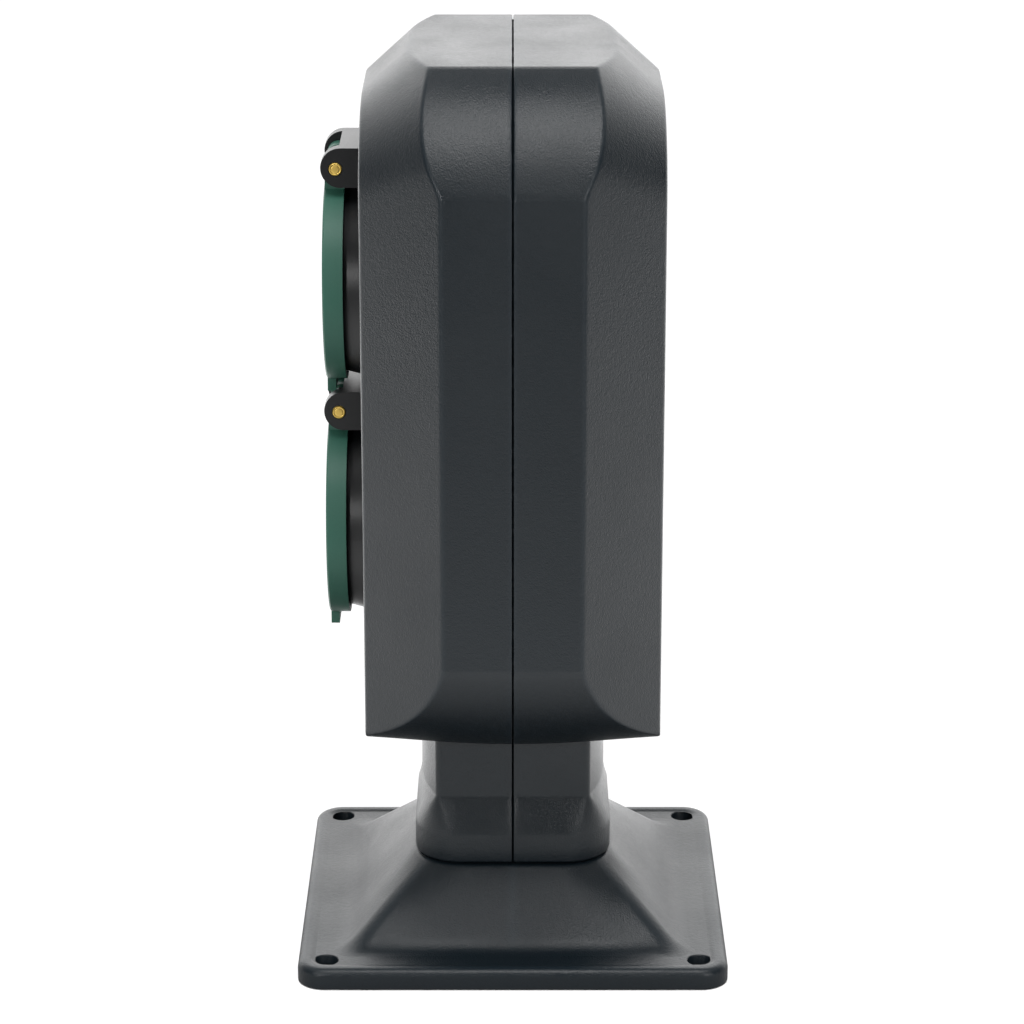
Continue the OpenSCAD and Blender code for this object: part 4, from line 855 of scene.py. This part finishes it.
def part_of(tree, vector, part):
    """The X, Y or Z of a vector, or its Length."""
    if part == "Length":
        node = tree.nodes.new("ShaderNodeVectorMath")
        node.operation = "LENGTH"
        tree.links.new(vector, node.inputs[0])
        return node.outputs["Value"]
    node = tree.nodes.new("ShaderNodeSeparateXYZ")
    tree.links.new(vector, node.inputs[0])
    return node.outputs[part]


def ramp(tree, value, first, last):
    """A smooth step of a value: first and last are (place, result) pairs."""
    step = tree.nodes.new("ShaderNodeMapRange")
    step.interpolation_type = "SMOOTHSTEP"
    for label, (place, result) in (("Min", first), ("Max", last)):
        step.inputs["From " + label].default_value = place
        step.inputs["To " + label].default_value = result
    tree.links.new(value, step.inputs["Value"])
    return step.outputs[0]


def ray_masks(tree):
    """(1 for camera and transmission rays, 1 for glossy rays), each else 0."""
    path = tree.nodes.new("ShaderNodeLightPath").outputs
    plain = math_node(tree, "MAXIMUM", path["Is Camera Ray"], path["Is Transmission Ray"])
    return plain, path["Is Glossy Ray"]


def floor_paper(stage):
    """White paper. Glossy surfaces see a painted glow on it: brightest behind the pillar,
    darkened at the plate by a painted shadow, and fading out in front to both sides."""
    paper = bpy.data.materials.new("floor_paper")
    paper.use_nodes = True
    tree = paper.node_tree
    shader = tree.nodes["Principled BSDF"].inputs
    shader["Base Color"].default_value = (0.25, 0.25, 0.25, 1)
    shader["Roughness"].default_value = 0.9
    shader["Emission Color"].default_value = (1, 1, 1, 1)
    plain, glossy = ray_masks(tree)
    place = tree.nodes.new("ShaderNodeTexCoord").outputs["Object"]
    depth = part_of(tree, place, "X")
    front = ramp(tree, depth, (0.65, stage.floor_shine), (0.05, 1.05))
    behind = ramp(tree, depth, (0.02, 0.0), (-0.17, 1.3))
    aside = math_node(tree, "ABSOLUTE", part_of(tree, place, "Y"), 0)
    # Painted shadow: the glow that glossy surfaces see is darkened close to the plate
    plate_shadow = ramp(tree, part_of(tree, place, "Length"), (0.07, 0.15), (0.17, 1.0))
    at_sides = ramp(tree, math_node(tree, "ADD", aside, depth), (0.6, 1.0), (1.1, 0.08))
    glow = math_node(tree, "ADD", front, behind)
    for factor in (plate_shadow, at_sides, glossy):
        glow = math_node(tree, "MULTIPLY", glow, factor)
    white = math_node(tree, "MULTIPLY", plain, PAPER_WHITE)
    tree.links.new(math_node(tree, "MAXIMUM", white, glow), shader["Emission Strength"])
    return paper


def studio_room(stage):
    """A white background. Glossy surfaces see it dark on the camera's side and bright behind,
    and everything else gets the room's even light."""
    world = bpy.data.worlds.new("studio_room")
    world.use_nodes = True
    tree = world.node_tree
    back = tree.nodes["Background"].inputs
    back["Color"].default_value = (1, 1, 1, 1)
    plain, glossy = ray_masks(tree)
    place = tree.nodes.new("ShaderNodeTexCoord").outputs["Generated"]
    side = ramp(tree, part_of(tree, place, "X"), (-0.25, stage.front_dark), (-0.85, 1.9))
    shine = math_node(tree, "MULTIPLY", glossy, side)
    either = math_node(tree, "MAXIMUM", plain, glossy)
    rest = math_node(tree, "MULTIPLY", math_node(tree, "SUBTRACT", 1.0, either), stage.room)
    seen = math_node(tree, "MAXIMUM", plain, shine)
    tree.links.new(math_node(tree, "ADD", seen, rest), back["Strength"])
    return world


# Operators

FINISHES = {}


def finish(slot):
    """The material of a slot; an error if the finishes haven't been made yet."""
    if slot not in FINISHES:
        raise RuntimeError("pillar.finishes has to run before the pieces")
    return FINISHES[slot]


class PILLAR_OT_finishes(bpy.types.Operator):
    """Makes the materials and puts them on the CAD nodes"""

    bl_idname = "pillar.finishes"
    bl_label = "Finishes"

    def execute(self, context):
        FINISHES.update(build_finishes(context.scene.pillar_finishes))
        for row in frame["record"]["subparts"]:
            dress(row["node"], finish(row["material_slot"]))
        return {"FINISHED"}


class PILLAR_OT_housing(bpy.types.Operator):
    """Makes the skins of the two housing halves"""

    bl_idname = "pillar.housing"
    bl_label = "Housing halves"

    def execute(self, context):
        sizes = context.scene.pillar_housing
        shell = finish("shell_plastic")
        front = build_half("front_housing_skin", sizes, shell, False)
        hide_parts("front_shell")
        rear = build_half("rear_housing_skin", sizes, shell, True)
        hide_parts("rear_shell")
        return {"FINISHED"}


class PILLAR_OT_foot(bpy.types.Operator):
    """Makes the skin of the foot"""

    bl_idname = "pillar.foot"
    bl_label = "Foot"

    def execute(self, context):
        foot = build_foot(context.scene.pillar_foot, finish("shell_plastic"))
        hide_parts("foot_plate")
        return {"FINISHED"}


class PILLAR_OT_pins(bpy.types.Operator):
    """Makes the hinge pins with turned ends"""

    bl_idname = "pillar.pins"
    bl_label = "Hinge pins"

    def execute(self, context):
        sizes = context.scene.pillar_pins
        for row, which in enumerate(("lower", "upper")):
            middle = np.array([0, -sizes.forward, sizes.first + row * sizes.pitch]) / MM
            pin = build_pin(which + "_pin_turned", middle, sizes.span / MM,
                            sizes.radius / MM, finish("brass"))
            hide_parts(which + "_hinge_pin")
        return {"FINISHED"}


class PILLAR_OT_stage(bpy.types.Operator):
    """Makes the floor, the lights, the background and the camera"""

    bl_idname = "pillar.stage"
    bl_label = "Studio"

    def execute(self, context):
        scene, stage = context.scene, context.scene.pillar_stage
        reach = FLOOR_REACH
        mesh = bpy.data.meshes.new("studio_floor")
        mesh.from_pydata([(-reach, -reach, 0), (reach, -reach, 0), (reach, reach, 0),
                          (-reach, reach, 0)], [], [(0, 1, 2, 3)])
        floor = bpy.data.objects.new("studio_floor", mesh)
        scene.collection.objects.link(floor)
        mesh.materials.append(floor_paper(stage))
        scene.world = studio_room(stage)
        for lamp in LAMPS:
            soft_light(*lamp)

        data = bpy.data.cameras.new("studio_camera")
        data.lens, data.sensor_width = stage.lens, SENSOR
        camera = bpy.data.objects.new("studio_camera", data)
        camera.location = (stage.distance, CAMERA_SIDE, stage.height)
        look = Vector((-math.cos(stage.pitch), 0, -math.sin(stage.pitch)))
        camera.rotation_euler = look.to_track_quat("-Z", "Y").to_euler()
        scene.collection.objects.link(camera)
        scene.camera = camera
        scene.view_settings.view_transform = "Standard"
        return {"FINISHED"}


# Panel and registration


class PILLAR_PT_panel(bpy.types.Panel):
    """Lists the pillar's operators"""

    bl_idname = "PILLAR_PT_panel"
    bl_label = "Garden socket pillar"
    bl_space_type = "VIEW_3D"
    bl_region_type = "UI"
    bl_category = "Pillar"

    def draw(self, context):
        for step in STEPS:
            self.layout.operator(step.bl_idname)


GROUPS = {"pillar_housing": HousingSizes, "pillar_foot": FootSizes,
          "pillar_pins": PinSizes, "pillar_finishes": Finishes, "pillar_stage": StageSettings}
STEPS = [PILLAR_OT_finishes, PILLAR_OT_housing, PILLAR_OT_foot, PILLAR_OT_pins,
         PILLAR_OT_stage]


def register():
    """Registers the settings, the operators and the panel."""
    for cls in [*GROUPS.values(), *STEPS, PILLAR_PT_panel]:
        bpy.utils.register_class(cls)
    for name, cls in GROUPS.items():
        setattr(bpy.types.Scene, name, bpy.props.PointerProperty(type=cls))


def unregister():
    """Takes back what register did, in reverse."""
    for name in GROUPS:
        delattr(bpy.types.Scene, name)
    for cls in reversed([*GROUPS.values(), *STEPS, PILLAR_PT_panel]):
        bpy.utils.unregister_class(cls)


def main():
    """Registers the add-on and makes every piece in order."""
    register()
    bpy.ops.pillar.finishes()
    bpy.ops.pillar.housing()
    bpy.ops.pillar.foot()
    bpy.ops.pillar.pins()
    bpy.ops.pillar.stage()


if __name__ == "__main__":
    main()
